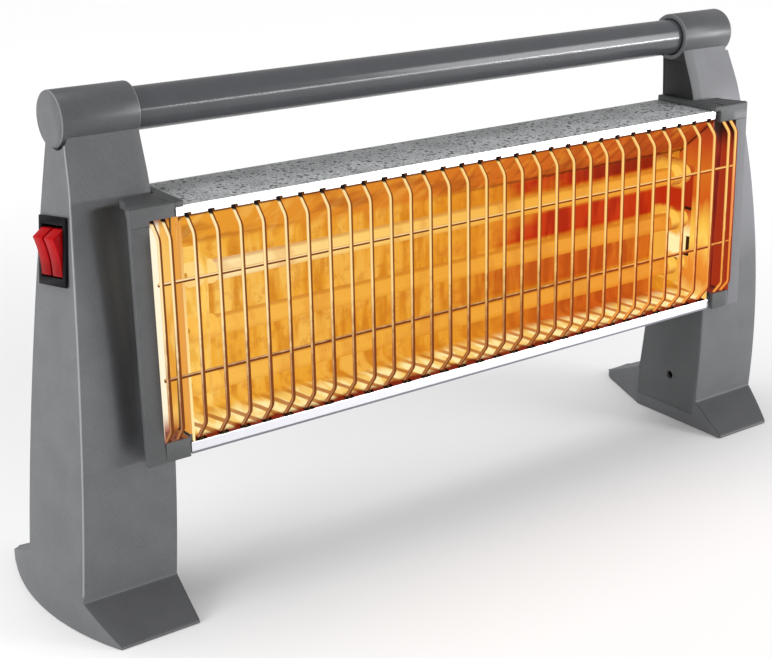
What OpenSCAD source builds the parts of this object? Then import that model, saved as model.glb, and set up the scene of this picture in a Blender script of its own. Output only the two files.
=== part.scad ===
// Free-standing quartz heater: two moulded legs, a sheet case with a polished trough between them,
// three heating tubes behind a wire guard, a carrying tube above and a double rocker switch.
// +X runs along the heater, -Y is its front, +Z is up. The origin is on the floor, under the middle.

/* [Overall] */
// Width over the widest points of both feet
overall_w = 471; // [440:1:520]
// Height from the floor to the top of the handle sockets
overall_h = 250; // [235:1:275]
// Depth of a foot from toe to heel
foot_depth = 121; // [114:1:130]

/* [Legs] */
// Plan radius of a leg's outer face at the floor
flank_r = 146; // [141:1:150]
// Radius of the curve by which the outer face leans inwards as it rises
flank_lean_r = 1200; // [1150:10:1400]
// Width of a foot from its inner edge to its widest point
foot_w = 54.5; // [53:0.5:58]
// How far each inner face leans in between the floor and the handle
inner_lean = 5.7; // [4.5:0.1:6]
// Radius of the front curve of a leg, seen from the side
front_curve_r = 580; // [560:5:640]
// Depth below the sockets' top at which the front curve lies furthest forward
front_bow_drop = 184; // [178:1:192]
// How far the front curve lies before the middle plane at that height
front_bow_y = 41; // [39.5:0.5:43]
// Radius of the rear curve of a leg, seen from the side
rear_curve_r = 1050; // [950:10:1200]
// Depth below the sockets' top at which the rear curve lies furthest forward
rear_bow_drop = 82; // [74:1:90]
// How far the rear curve lies before the middle plane at that height
rear_bow_y = 0.5; // [0:0.1:1]
// Wall of the leg shell
leg_wall = 3; // [2:0.1:3.4]
// Thickness of the cover plate on the inner face
cover_t = 2.5; // [1.8:0.1:3]
// Width of the shell's rim round the cover plate
cover_rim = 1.5; // [1.2:0.1:2]
// Height of the cover plate's lower edge
cover_bottom_z = 8; // [6:0.5:12]

/* [Feet] */
// Height of the upright edge round a foot
foot_edge_h = 1.6; // [1:0.1:3]
// Height at which the toe's slope leaves the leg
toe_root_z = 17; // [14:0.5:22]
// Height at which the heel's slope leaves the leg
heel_root_z = 26; // [22:0.5:30]
// Plan radius of the round end of the heel
heel_r = 16; // [12:0.5:20]

/* [Valley in the leg's front face] */
// Depth of the valley
valley_depth = 6.5; // [4:0.5:6.5]
// Height of the valley's lower end above the case's underside
valley_low_rise = 2; // [1:0.5:6]
// Depth of the valley's upper end below the end frame's top
valley_top_drop = 3; // [1:0.5:6]
// Distance of the valley's inner edge from the case's end
valley_in_reach = 6.5; // [5:0.5:9]
// Distance of its deepest line from the case's end
valley_deep_reach = 20.5; // [18:0.5:23]
// Distance of its outer edge from the case's end
valley_out_reach = 33.5; // [30:0.5:33.5]

/* [Handle] */
// Diameter of the sockets
socket_d = 26; // [25:0.5:28]
// How far the handle lies before the middle plane
socket_y = 4; // [2:0.5:6]
// How far a socket's end lies inside the foot's widest point
socket_set = 21.5; // [19:0.5:24]
// Diameter of the carrying tube
handle_d = 20; // [18:0.5:21]
// Wall of the carrying tube
handle_t = 1.2; // [1:0.1:2]
// Length of tube held in each socket
handle_grip = 25; // [18:1:30]
// Radial clearance of the tube in its sockets
handle_fit = 0.1; // [0.05:0.05:0.2]
// Width of the dark ring round the tube at each socket's mouth
mouth_gap = 0.7; // [0.4:0.1:1.2]
// Depth of that ring
mouth_depth = 1.2; // [0.6:0.2:3]

/* [Case] */
// Gap between the case and each leg, taken at the handle's height
case_gap = 0.8; // [0.6:0.1:2]
// Height of the sockets' top above the case
handle_rise = 50; // [46:0.5:56]
// Height of the case
case_h = 118; // [114:0.5:122]
// How far its rear wall lies behind the middle plane
case_rear_y = 2; // [0:0.5:8]
// Thickness of the case's sheet
case_t = 1; // [0.8:0.1:1.2]
// Bend radius of the rear edges
case_bend_r = 3; // [2:0.5:6]
// Thickness of the end plates
case_end_t = 1.2; // [1:0.1:2]

/* [End frames] */
// How far an end frame stands above the case
frame_rise = 3; // [3:0.5:5]
// How far its front lies before the middle plane at the top
frame_front_y = 46; // [44.5:0.5:47]
// Angle by which the front faces lean forward towards the floor
front_rake = 2.2; // [1.6:0.1:2.6]
// How far the case's front lies behind the end frame's front
front_step = 2.2; // [1.8:0.1:3]
// How far an end frame reaches past the case's end
frame_reach = 24; // [22:0.5:27]
// How far the pocket's outer edge lies past the case's end
pocket_reach = 14.4; // [14.2:0.1:15.4]
// Gap between the case's end and the arms
arm_gap = 1.5; // [1:0.1:2.4]
// Height of the frame's upper arm
upper_arm_h = 9.3; // [7:0.1:10]
// Height of the frame's lower arm
lower_arm_h = 9.6; // [7:0.1:10]
// Thickness of the front plate
frame_t = 3; // [2:0.1:3.5]
// Thickness of the pocket's walls
pocket_t = 2; // [1.2:0.1:2.4]
// How far the pocket's rear face lies before the middle plane
pocket_rear_y = 36; // [35:0.5:38]
// Width of the rim on the case's top
rim_w = 4.3; // [3:0.1:6]

/* [Reflector] */
// Thickness of the polished sheet
reflector_t = 0.8; // [0.5:0.1:1]
// Height of the upper flange
upper_flange_h = 4.7; // [4:0.1:6]
// Height of the lower flange
lower_flange_h = 6; // [5:0.1:7]
// How far the trough's rear wall lies before the middle plane
trough_rear_y = 20; // [19:0.5:21]
// Depth of the rear wall's upper edge below the case's top
trough_top_drop = 27; // [23:0.5:30]
// Height of the rear wall's lower edge above the case's underside
trough_low_rise = 10; // [8:0.5:13]

/* [Heating tubes] */
// Outer diameter of a glass tube
tube_d = 10; // [8:0.5:11]
// Wall of a glass tube
tube_wall = 1; // [0.8:0.1:1.5]
// How far the tubes' axes lie before the middle plane
tube_y = 32; // [31:0.5:32]
// Depth of the top tube's axis below the case's top
tube_drop = 37; // [36:0.5:39]
// Height of the bottom tube's axis above the case's underside
tube_rise = 27; // [25:0.5:32]
// Diameter of a ceramic end cap
cap_d = 11.5; // [11.5:0.5:13]
// Distance of a cap's inner end from the case's end
cap_set = 23.5; // [22.5:0.5:26.5]
// Length of a cap
cap_l = 13.5; // [12:0.5:14]
// Depth of the seat in a cap for the glass
cap_seat = 7; // [5:0.5:8]
// Diameter of the space taken by a heating coil
coil_d = 5.8; // [4:0.2:6]
// How far a heating coil ends short of the caps
coil_set = 5; // [4:0.5:10]
// Diameter of a terminal pin
pin_d = 2.4; // [2:0.1:2.8]
// How far a pin stands out of its cap
pin_out = 3.5; // [3:0.5:4]

/* [Tube brackets] */
// Thickness of a bracket's sheet
bracket_t = 1.2; // [1:0.1:1.5]
// Distance of the bracket's inner edge from the case's end
bracket_set = 22.5; // [20.5:0.5:24.5]
// Width of the bracket along the heater
bracket_w = 14.5; // [13:0.5:14.5]
// Distance from the inner edge to the upright wall
bracket_wall_set = 5; // [4:0.5:6]
// How far the upright wall stands off the trough
bracket_reach = 19; // [18:0.5:20]
// How far the bracket reaches past the outer tubes' axes
bracket_past = 10; // [9:0.5:12]
// Height of the raised tab
tab_h = 18; // [12:1:20]
// How far the tab stands off the bracket
tab_rise = 2; // [1:0.5:3]

/* [Guard] */
// Diameter of the upright wires
wire_d = 2; // [1.6:0.1:2.4]
// Number of wires between the end frames
wire_count = 31; // [21:2:33]
// How far the outer two of them lie past the case's ends
wire_reach = 6.25; // [5:0.25:6.5]
// How far the last wire on each side lies past the case's end
last_wire_reach = 12; // [11.5:0.1:12.4]
// Depth of the wires' upper bend below the case's top
upper_bend_drop = 12; // [11:0.5:16]
// How far the upper bend lies before the middle plane
upper_bend_y = 49.5; // [49:0.5:51]
// Height of the wires' lower bend above the case's underside
lower_bend_rise = 16; // [15:0.5:19]
// How far the lower bend lies before the middle plane
lower_bend_y = 52.5; // [52:0.5:54]
// Rise of the upper hook
upper_hook_rise = 7.7; // [7:0.1:8.2]
// Depth of the upper hook, front to rear
upper_hook_run = 7.1; // [6.8:0.1:7.4]
// Drop of the lower hook
lower_hook_drop = 10.8; // [10.5:0.1:11.4]
// Depth of the lower hook, front to rear
lower_hook_run = 8.1; // [7.8:0.1:8.4]
// Diameter of the two long rails
rail_d = 1.8; // [1.4:0.1:2]
// Depth of the upper rail below the case's top
upper_rail_drop = 33; // [28:1:40]
// Height of the lower rail above the case's underside
lower_rail_rise = 40; // [30:1:48]

/* [Switch] */
// Depth of the switch's centre below the case's top
switch_drop = 19; // [18:0.5:22]
// How far its centre lies before the middle plane
switch_y = 15.8; // [15:0.1:16]
// Angle by which it leans rearwards at the top
switch_lean = 7; // [5:0.5:9]
// Width of the bezel
bezel_w = 22; // [21:0.5:24]
// Height of the bezel
bezel_h = 31; // [29:0.5:33]
// Thickness of the bezel
bezel_t = 1.3; // [1:0.1:2]
// Width of the opening for the rockers
mouth_w = 17.6; // [17:0.1:17.8]
// Height of that opening
mouth_h = 23.4; // [23.4:0.1:24]
// Wall of the switch's body
switch_wall = 1.1; // [0.9:0.1:1.2]
// Depth of the switch's body
switch_depth = 12.8; // [12:0.1:12.8]
// Angle between a rocker's two stops
rocker_swing = 20; // [14:1:20]
// Depth of the rocker's pivot behind the leg's face
pivot_depth = 3.5; // [3:0.1:4]
// Diameter of the rocker's pivot pins
pivot_d = 2.4; // [2:0.1:2.8]

/* [Cord outlet] */
// Height of the outlet in the left leg's rear wall
outlet_z = 42; // [40:1:46]
// Distance of the outlet from the case's end
outlet_reach = 28.5; // [25.5:0.5:30.5]
// Bore of the grommet
outlet_bore_d = 7; // [6:0.5:8]

/* [Hidden] */

// Overrun by which every cut passes the faces that it opens
over = 1;
// Assembly clearance between fitted pieces
clear = 0.2;
// Fineness of small rounds, of plain rounds and of the long shallow curves
small_fn = 24;
round_fn = 64;
curve_fn = 720;

// Size of a wire's knuckle against the wire
knuckle_share = 1.12;

// Colours of the moulded parts, the case, bright sheet, plain steel, glass, glowing wire and the rest
leg_grey = [0.42, 0.43, 0.44];
case_grey = [0.45, 0.46, 0.47];
bright = [0.88, 0.88, 0.87];
steel = [0.62, 0.62, 0.62];
brass = [0.74, 0.6, 0.32];
glass = [0.95, 0.62, 0.25, 0.5];
glow = [1, 0.55, 0.1];
ceramic = [0.9, 0.87, 0.8];
red = [0.85, 0.1, 0.1];
black = [0.08, 0.08, 0.08];

socket_r = socket_d / 2;
socket_z = overall_h - socket_r;
socket_span = overall_w - 2 * socket_set;
flank_x = overall_w / 2 - flank_r;
front_bow_z = overall_h - front_bow_drop;
rear_bow_z = overall_h - rear_bow_drop;
inner_gap_floor = overall_w - 2 * foot_w;
inner_gap_top = inner_gap_floor - 2 * inner_lean;

case_l = inner_gap_top - 2 * case_gap;
case_end_x = case_l / 2;
case_top_z = overall_h - handle_rise;
case_bottom_z = case_top_z - case_h;
frame_top_z = case_top_z + frame_rise;
frame_out_x = case_end_x + frame_reach;
pocket_out_x = case_end_x + pocket_reach;
arm_in_x = case_end_x + arm_gap;
valley_bottom_z = case_bottom_z + valley_low_rise;
valley_top_z = frame_top_z - valley_top_drop;
valley_in_x = case_end_x + valley_in_reach;
valley_deep_x = case_end_x + valley_deep_reach;
valley_out_x = case_end_x + valley_out_reach;
trough_rear_top_z = case_top_z - trough_top_drop;
trough_rear_bottom_z = case_bottom_z + trough_low_rise;
tube_top_z = case_top_z - tube_drop;
tube_pitch = (case_h - tube_drop - tube_rise) / 2;
cap_in_x = case_end_x - cap_set;
coil_l = 2 * (cap_in_x - coil_set);
bracket_in_x = case_end_x - bracket_set;
wire_span = case_l + 2 * wire_reach;
last_wire_x = case_end_x + last_wire_reach;
upper_bend_z = case_top_z - upper_bend_drop;
lower_bend_z = case_bottom_z + lower_bend_rise;
upper_rail_z = case_top_z - upper_rail_drop;
lower_rail_z = case_bottom_z + lower_rail_rise;
switch_z = case_top_z - switch_drop;
outlet_x = case_end_x + outlet_reach;

flank_steps = 8;
bend_steps = 5;
foot_y = foot_depth / 2;
cover_top_z = socket_z - socket_r - 2 * clear;
// The cavity keeps its wall behind the valley
cavity_front = valley_depth + leg_wall;

// Distance of a leg's outer face from its upright axis at height z
function flank_at(z) = flank_r - (flank_lean_r - sqrt(pow(flank_lean_r, 2) - pow(z, 2)));
// Front and rear outline of a leg at height z
function front_y(z) = -front_bow_y + front_curve_r - sqrt(pow(front_curve_r, 2) - pow(z - front_bow_z, 2));
function rear_y(z) = -rear_bow_y + rear_curve_r - sqrt(pow(rear_curve_r, 2) - pow(z - rear_bow_z, 2));
// Inner face of the right leg at height z
function inner_x(z) = inner_gap_floor / 2 - (inner_gap_floor - inner_gap_top) / 2 * z / socket_z;
// Front plane of the end frames and of the case at height z
function frame_y(z) = -frame_front_y - (frame_top_z - z) * tan(front_rake);
function case_y(z) = frame_y(z) + front_step;

function unit(v) = v / norm(v);
// Points on an arc about c from angle a to angle b in steps pieces
function arc(c, r, a, b, steps) =
    [for (i = [0:steps]) c + r * [cos(a + (b - a) * i / steps), sin(a + (b - a) * i / steps)]];
// Left-hand normal of the line from a to b
function side(a, b) = let (d = unit(b - a)) [-d[1], d[0]];
// A line of points moved sideways by t, with mitred corners
function shifted(pts, t) = [for (i = [0:len(pts) - 1])
    let (
        before = side(pts[max(i - 1, 0)], pts[max(i, 1)]),
        after = side(pts[min(i, len(pts) - 2)], pts[min(i + 1, len(pts) - 1)])
    ) pts[i] + t * (before + after) / (1 + before * after)];
// Outline of a sheet of thickness t bent along a line of points
function sheet(pts, t) = concat(pts, [for (i = [len(pts) - 1:-1:0]) shifted(pts, t)[i]]);

// Pushes an outline drawn in Y and Z along X
module along_x(from, length) {
    translate([from, 0, 0]) rotate([90, 0, 90]) linear_extrude(height = length) children();
}

// Pushes an outline drawn in X and Z along Y
module along_y(from, length) {
    translate([0, from + length, 0]) rotate([90, 0, 0]) linear_extrude(height = length) children();
}

module on_left() {
    mirror([1, 0, 0]) children();
}

// Straight round rod from a to b
module rod(a, b, r) {
    d = b - a;
    translate(a) rotate([0, acos(d[2] / norm(d)), atan2(d[1], d[0])])
        cylinder(h = norm(d), r = r, $fn = small_fn);
}

// Round wire along a line of points, with a knuckle a little fuller than the wire at each bend
module bent_wire(pts, r) {
    last = len(pts) - 1;
    for (i = [0:last - 1]) rod(pts[i], pts[i + 1], r);
    for (i = [1:1:last - 1]) translate(pts[i]) sphere(r = r * knuckle_share, $fn = small_fn);
}

// Right leg

// Body of revolution whose skin is the leg's outer face
module flank_body(inset) {
    profile = [for (i = [0:flank_steps]) let (z = overall_h * i / flank_steps) [flank_at(z) - inset, z]];
    translate([flank_x, 0, 0]) rotate_extrude($fn = curve_fn / 2) polygon(concat([[0, 0]], profile, [[0, overall_h]]));
}

// Side outline of the leg between two heights, drawn in by an inset at the front and at the rear
module leg_outline(front_in, rear_in, low, high) {
    difference() {
        intersection() {
            translate([front_curve_r - front_bow_y, front_bow_z]) circle(r = front_curve_r - front_in, $fn = curve_fn);
            translate([-foot_y, low]) square([foot_depth, high - low]);
        }
        translate([rear_curve_r - rear_bow_y, rear_bow_z]) circle(r = rear_curve_r + rear_in, $fn = curve_fn);
    }
}

// Space on the outer side of the tilted inner face, from one depth behind it to another
module behind_inner_face(near, far) {
    along_y(-foot_depth, 2 * foot_depth) polygon([
        [inner_x(-over) + near, -over], [inner_x(-over) + far, -over],
        [inner_x(overall_h) + far, overall_h], [inner_x(overall_h) + near, overall_h]]);
}

// Plan of the foot: toe and flank as wide as the leg, the heel drawn in to a round end
module foot_plan() {
    heel_y = foot_y - heel_r;
    reach = flank_r - heel_r + clear;
    c = [flank_x + sqrt(pow(reach, 2) - pow(heel_y, 2)), heel_y];
    root = [inner_x(0), rear_y(heel_root_z)];
    away = unit(root - c);
    swing = acos(heel_r / norm(root - c));
    start = atan2(away[1], away[0]) - swing;
    touch = c + heel_r * [cos(start), sin(start)];
    outer = [flank_x, 0] + unit(c - [flank_x, 0]) * (flank_r + heel_r);
    translate(c) circle(r = heel_r, $fn = round_fn);
    polygon([[root[0] - heel_r, -foot_y - over], [overall_w / 2 + over, -foot_y - over],
        [overall_w / 2 + over, 0], outer, c, touch, root, [root[0] - heel_r, root[1]]]);
}

// Both slopes run on into the leg by the overrun
module foot() {
    heel_slope = (heel_root_z - foot_edge_h) / (foot_y - rear_y(heel_root_z));
    toe_slope = (toe_root_z - foot_edge_h) / (foot_y + front_y(toe_root_z));
    intersection() {
        along_x(inner_gap_top / 2 - over, overall_w / 2) polygon([
            [-foot_y, 0], [foot_y, 0], [foot_y, foot_edge_h],
            [rear_y(heel_root_z) - over, heel_root_z + over * heel_slope],
            [front_y(toe_root_z) + over, toe_root_z + over * toe_slope], [-foot_y, foot_edge_h]]);
        linear_extrude(height = 2 * heel_root_z) foot_plan();
    }
}

module leg_solid() {
    intersection() {
        flank_body(0);
        behind_inner_face(0, overall_w / 2);
        union() {
            along_x(inner_gap_top / 2 - over, overall_w / 2) leg_outline(0, 0, 0, socket_z);
            foot();
        }
    }
    // The socket stands a little proud of the inner face
    translate([inner_gap_top / 2 - clear, -socket_y, socket_z]) rotate([0, 90, 0])
        cylinder(h = (socket_span - inner_gap_top) / 2 + clear, r = socket_r, $fn = round_fn);
}

// Hollow of the leg, open on the inner face
module leg_cavity() {
    intersection() {
        flank_body(leg_wall);
        along_x(inner_gap_top / 2 - over, overall_w / 2)
            leg_outline(cavity_front, leg_wall, cover_bottom_z + cover_rim, cover_top_z - cover_rim);
    }
}

// Plate-shaped space of the cover, made smaller all round by a gap
module cover_space(gap) {
    intersection() {
        behind_inner_face(gap > 0 ? 0 : -over, cover_t);
        along_x(inner_gap_top / 2 - over, overall_w / 2)
            leg_outline(cover_rim + gap, cover_rim + gap, cover_bottom_z + gap, cover_top_z - gap);
    }
}

// Valley turned round the axis of the front curve
module valley() {
    low = asin((valley_bottom_z - front_bow_z) / front_curve_r);
    high = asin((valley_top_z - front_bow_z) / front_curve_r);
    in_slope = (valley_deep_x - valley_in_x) / valley_depth;
    out_slope = (valley_out_x - valley_deep_x) / valley_depth;
    translate([0, front_curve_r - front_bow_y, front_bow_z]) rotate([0, 90, 0]) rotate([0, 0, 270 - high])
        rotate_extrude(angle = high - low, $fn = curve_fn) polygon([
            [front_curve_r - valley_depth, valley_deep_x],
            [front_curve_r + over, valley_out_x + over * out_slope],
            [front_curve_r + over, valley_in_x - over * in_slope]]);
}

// Notch in the leg's front edge that takes the end frame's pocket
module pocket_notch() {
    translate([inner_gap_top / 2 - 2 * over, -foot_y, case_bottom_z + lower_arm_h - pocket_t - clear])
        cube([pocket_out_x + pocket_t + clear - inner_gap_top / 2 + 2 * over, foot_y - pocket_rear_y + clear,
            frame_top_z - upper_arm_h + 2 * pocket_t + 2 * clear - case_bottom_z - lower_arm_h]);
}

module handle_bore() {
    translate([inner_gap_top / 2, -socket_y, socket_z]) rotate([0, 90, 0]) {
        translate([0, 0, -over]) cylinder(h = handle_grip + over, r = handle_d / 2 + handle_fit, $fn = round_fn);
        translate([0, 0, -over]) cylinder(h = mouth_depth + over, r = handle_d / 2 + mouth_gap, $fn = round_fn);
        cylinder(h = (socket_span - inner_gap_top) / 2 - leg_wall, r = handle_d / 2 - handle_t, $fn = round_fn);
    }
}

// Cover screw, with its place on the inner face
cover_screw_y = 17;
cover_screw_z = 28.4;
cover_screw_d = 2.5;
cover_head_d = 4.2;
cover_head_h = 1.6;
cover_recess_d = 4.5;
cover_cup_wall = 1.4;
cover_cup_depth = 5.7;
cover_cup_floor = 2;
cover_thread_l = 12;
shell_boss_d = 8;
cup_floor_x = inner_x(cover_screw_z) + cover_cup_depth;

module at_cover_screw(x) {
    translate([x, -cover_screw_y, cover_screw_z]) rotate([0, 90, 0]) children();
}

module right_leg_shell() {
    color(leg_grey) difference() {
        union() {
            difference() {
                leg_solid();
                leg_cavity();
            }
            intersection() {
                leg_solid();
                at_cover_screw(cup_floor_x + cover_cup_floor + clear)
                    cylinder(h = overall_w / 2, d = shell_boss_d, $fn = small_fn);
            }
        }
        cover_space(0);
        valley();
        pocket_notch();
        handle_bore();
        at_cover_screw(cup_floor_x) cylinder(h = cover_thread_l + over, d = cover_screw_d + clear, $fn = small_fn);
    }
}

// Screws that hold a leg to the case
leg_screw_y = 9;
leg_screw_drop = 30;
leg_screw_rise = 28;
leg_screw_upper_z = case_top_z - leg_screw_drop;
leg_screw_lower_z = case_bottom_z + leg_screw_rise;
leg_screw_d = 3;
leg_head_d = 5.6;
leg_head_h = 2;
leg_pad_d = 8;
leg_pad_rise = 4.5;
bush_d = 6.4;
bush_l = 4;

module at_leg_screw(x, z) {
    translate([x, -leg_screw_y, z]) rotate([0, 90, 0]) children();
}

function pad_x(z) = inner_x(z) + leg_pad_rise;

module right_leg_cover() {
    color(leg_grey) difference() {
        union() {
            cover_space(clear);
            for (z = [leg_screw_upper_z, leg_screw_lower_z])
                at_leg_screw(case_end_x, z) cylinder(h = pad_x(z) - case_end_x, d = leg_pad_d, $fn = small_fn);
            at_cover_screw(inner_x(cover_screw_z) + cover_t / 2)
                cylinder(h = cover_cup_depth + cover_cup_floor - cover_t / 2,
                    d = cover_recess_d + 2 * cover_cup_wall, $fn = small_fn);
        }
        pocket_notch();
        for (z = [leg_screw_upper_z, leg_screw_lower_z]) at_leg_screw(case_end_x - over, z)
            cylinder(h = pad_x(z) - case_end_x + 2 * over, d = leg_screw_d + clear, $fn = small_fn);
        at_cover_screw(inner_x(cover_screw_z) - cover_t)
            cylinder(h = cover_cup_depth + cover_t, d = cover_recess_d, $fn = small_fn);
        at_cover_screw(cup_floor_x - over)
            cylinder(h = cover_cup_floor + 2 * over, d = cover_screw_d + clear, $fn = small_fn);
    }
}

module right_cover_screw() {
    color(steel) {
        at_cover_screw(cup_floor_x - cover_head_h) cylinder(h = cover_head_h, d = cover_head_d, $fn = small_fn);
        at_cover_screw(cup_floor_x) cylinder(h = cover_thread_l, d = cover_screw_d, $fn = small_fn);
    }
}

module right_leg_screw(z) {
    thread_l = pad_x(z) - case_end_x + case_end_t + bush_l;
    color(steel) {
        at_leg_screw(pad_x(z), z) cylinder(h = leg_head_h, d = leg_head_d, $fn = small_fn);
        at_leg_screw(pad_x(z) - thread_l, z) cylinder(h = thread_l, d = leg_screw_d, $fn = small_fn);
    }
}

// Places in the left leg, given for the right one and mirrored

// Switch, seated on the leaning outer face
switch_flank_r = flank_at(switch_z);
switch_turn = asin(switch_y / switch_flank_r);
switch_tilt = asin(switch_z / flank_lean_r);
switch_x = flank_x + switch_flank_r * cos(switch_turn);
switch_gap = 0.3;
web_t = 1;
rocker_gap = 0.3;
rocker_w = (mouth_w - web_t) / 2 - 2 * rocker_gap;
pivot_fit = 0.05;
pivot_grip = 0.8;
web_grip = 0.4;
switch_floor_t = 1.2;
tab_t = 0.8;
tab_w = 4.8;
tab_l = 6.7;
tab_root = 1;
tab_low_z = -6;
tab_high_z = 6;
tab_side_y = 4.6;
tab_pocket_l = 8;
tab_pocket_w = 15;
tab_pocket_h = 18;

module at_switch() {
    translate([switch_x, -switch_y, switch_z]) rotate([0, 0, -switch_turn]) rotate([0, -switch_tilt, 0])
        rotate([-switch_lean, 0, 0]) children();
}

// A point given in the switch's own frame, turned into the right leg's
function turned_x(v, a) = [v[0], v[1] * cos(a) - v[2] * sin(a), v[1] * sin(a) + v[2] * cos(a)];
function turned_y(v, a) = [v[0] * cos(a) + v[2] * sin(a), v[1], v[2] * cos(a) - v[0] * sin(a)];
function turned_z(v, a) = [v[0] * cos(a) - v[1] * sin(a), v[0] * sin(a) + v[1] * cos(a), v[2]];
function switch_dir(v) = turned_z(turned_y(turned_x(v, -switch_lean), -switch_tilt), -switch_turn);
function switch_point(v) = [switch_x, -switch_y, switch_z] + switch_dir(v);

// Box centred in Y and Z of the switch's frame
module slab(from, to, w, h) {
    translate([from, -w / 2, -h / 2]) cube([to - from, w, h]);
}

// Opening for the switch, with room behind it for the tabs
module switch_opening() {
    at_switch() {
        slab(-switch_depth - switch_gap, 2 * bezel_t, mouth_w + 2 * (switch_wall + switch_gap),
            mouth_h + 2 * (switch_wall + switch_gap));
        slab(-switch_depth - tab_pocket_l, -switch_depth, tab_pocket_w, tab_pocket_h);
    }
}

// Grommet bore with a flat seat in the rear wall
outlet_seat_y = 6;
outlet_wall = 2;
outlet_flange_d = 14;
outlet_flange_t = 2.5;
outlet_body_l = 4.5;

module at_outlet(y) {
    translate([outlet_x, y, outlet_z]) rotate([-90, 0, 0]) children();
}

// Shelf under the terminal block
block_set = 11.2;
block_z = (leg_screw_lower_z + cover_screw_z) / 2 - block_set;
shelf_t = 3;
block_l = 17;
block_w = 12;
block_h = 13;
block_reach = 9.5;
block_in_x = case_end_x + block_reach;
block_y = 8;

module block_shelf() {
    intersection() {
        leg_solid();
        behind_inner_face(cover_t + clear, overall_w / 2);
        translate([0, -block_y - block_w, block_z - shelf_t]) cube([overall_w / 2, 2 * block_w + block_y, shelf_t]);
    }
}

module left_leg_shell() {
    color(leg_grey) difference() {
        union() {
            on_left() right_leg_shell();
            on_left() block_shelf();
        }
        on_left() switch_opening();
        on_left() at_outlet(outlet_seat_y) cylinder(h = foot_y, d = outlet_flange_d + clear, $fn = round_fn);
        on_left() at_outlet(outlet_seat_y - 2 * outlet_body_l)
            cylinder(h = 3 * outlet_body_l, d = outlet_bore_d + 2 * outlet_wall + clear, $fn = round_fn);
    }
}

// Hole that the leads take from the case into the left leg
lead_hole_y = 10;
lead_hole_drop = 61;
lead_hole_z = case_top_z - lead_hole_drop;
lead_hole_d = 12;

module lead_hole() {
    translate([-overall_w / 2, -lead_hole_y, lead_hole_z]) rotate([0, 90, 0])
        cylinder(h = overall_w / 2, d = lead_hole_d, $fn = round_fn);
}

module left_leg_cover() {
    color(leg_grey) difference() {
        on_left() right_leg_cover();
        lead_hole();
    }
}

module left_cover_screw() { on_left() right_cover_screw(); }
module left_leg_screw(z) { on_left() right_leg_screw(z); }

module cord_grommet() {
    color(black) on_left() difference() {
        union() {
            at_outlet(outlet_seat_y) cylinder(h = outlet_flange_t, d = outlet_flange_d, $fn = round_fn);
            at_outlet(outlet_seat_y - outlet_body_l)
                cylinder(h = outlet_body_l, d = outlet_bore_d + 2 * outlet_wall, $fn = round_fn);
        }
        at_outlet(outlet_seat_y - outlet_body_l - over)
            cylinder(h = outlet_body_l + outlet_flange_t + 2 * over, d = outlet_bore_d, $fn = round_fn);
    }
}

module terminal_block() {
    color(ceramic) on_left() translate([block_in_x, -block_y - block_w / 2, block_z]) cube([block_l, block_w, block_h]);
}

// Handle

module handle_tube() {
    half = inner_gap_top / 2 + handle_grip;
    color(leg_grey) translate([-half, -socket_y, socket_z]) rotate([0, 90, 0]) difference() {
        cylinder(h = 2 * half, d = handle_d, $fn = round_fn);
        translate([0, 0, -over]) cylinder(h = 2 * (half + over), d = handle_d - 2 * handle_t, $fn = round_fn);
    }
}

// Case

front_gap = reflector_t + 0.5 * clear;
case_line = concat(
    [[case_y(case_top_z) + front_gap, case_top_z]],
    arc([case_rear_y - case_bend_r, case_top_z - case_bend_r], case_bend_r, 90, 0, bend_steps),
    arc([case_rear_y - case_bend_r, case_bottom_z + case_bend_r], case_bend_r, 0, -90, bend_steps),
    [[case_y(case_bottom_z) + front_gap, case_bottom_z]]);

module case_shell() {
    color(case_grey) along_x(-case_end_x, case_l) polygon(sheet(case_line, -case_t));
}

module right_case_end() {
    color(steel) difference() {
        union() {
            along_x(case_end_x - case_end_t, case_end_t) polygon(shifted(case_line, -case_t));
            for (z = [leg_screw_upper_z, leg_screw_lower_z]) at_leg_screw(case_end_x - case_end_t - bush_l, z)
                cylinder(h = bush_l + case_end_t / 2, d = bush_d, $fn = small_fn);
        }
        for (z = [leg_screw_upper_z, leg_screw_lower_z]) at_leg_screw(case_end_x - case_end_t - bush_l - over, z)
            cylinder(h = bush_l + case_end_t + 2 * over, d = leg_screw_d + clear / 2, $fn = small_fn);
    }
}

module left_case_end() {
    color(steel) difference() {
        on_left() right_case_end();
        lead_hole();
    }
}

// Reflector: flange, slanted upper wall, rear wall, nearly level lower wall, flange

trough_top_z = case_top_z - upper_flange_h;
trough_bottom_z = case_bottom_z + lower_flange_h;
trough_line = [[case_y(trough_top_z), trough_top_z], [-trough_rear_y, trough_rear_top_z],
    [-trough_rear_y, trough_rear_bottom_z], [case_y(trough_bottom_z), trough_bottom_z]];
trough_end_x = case_end_x - case_end_t - 0.5 * clear;

// Path of a guard wire at x: hook, bend, bend, hook
function wire_path(x) = [
    [x, -upper_bend_y + upper_hook_run, upper_bend_z + upper_hook_rise],
    [x, -upper_bend_y, upper_bend_z], [x, -lower_bend_y, lower_bend_z],
    [x, -lower_bend_y + lower_hook_run, lower_bend_z - lower_hook_drop]];
function wire_y(z) = -upper_bend_y - (lower_bend_y - upper_bend_y) * (upper_bend_z - z) / (upper_bend_z - lower_bend_z);
wire_xs = [for (i = [0:wire_count - 1]) wire_span * (i / (wire_count - 1) - 0.5)];
wire_hole_gap = 0.4;

// Holes that the two hooks of the wire at x pass through
module hook_holes(x) {
    path = wire_path(x);
    top = unit(path[0] - path[1]);
    low = unit(path[3] - path[2]);
    rod(path[1], path[0] + top * wire_d, wire_d / 2 + wire_hole_gap);
    rod(path[2], path[3] + low * wire_d, wire_d / 2 + wire_hole_gap);
}

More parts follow.
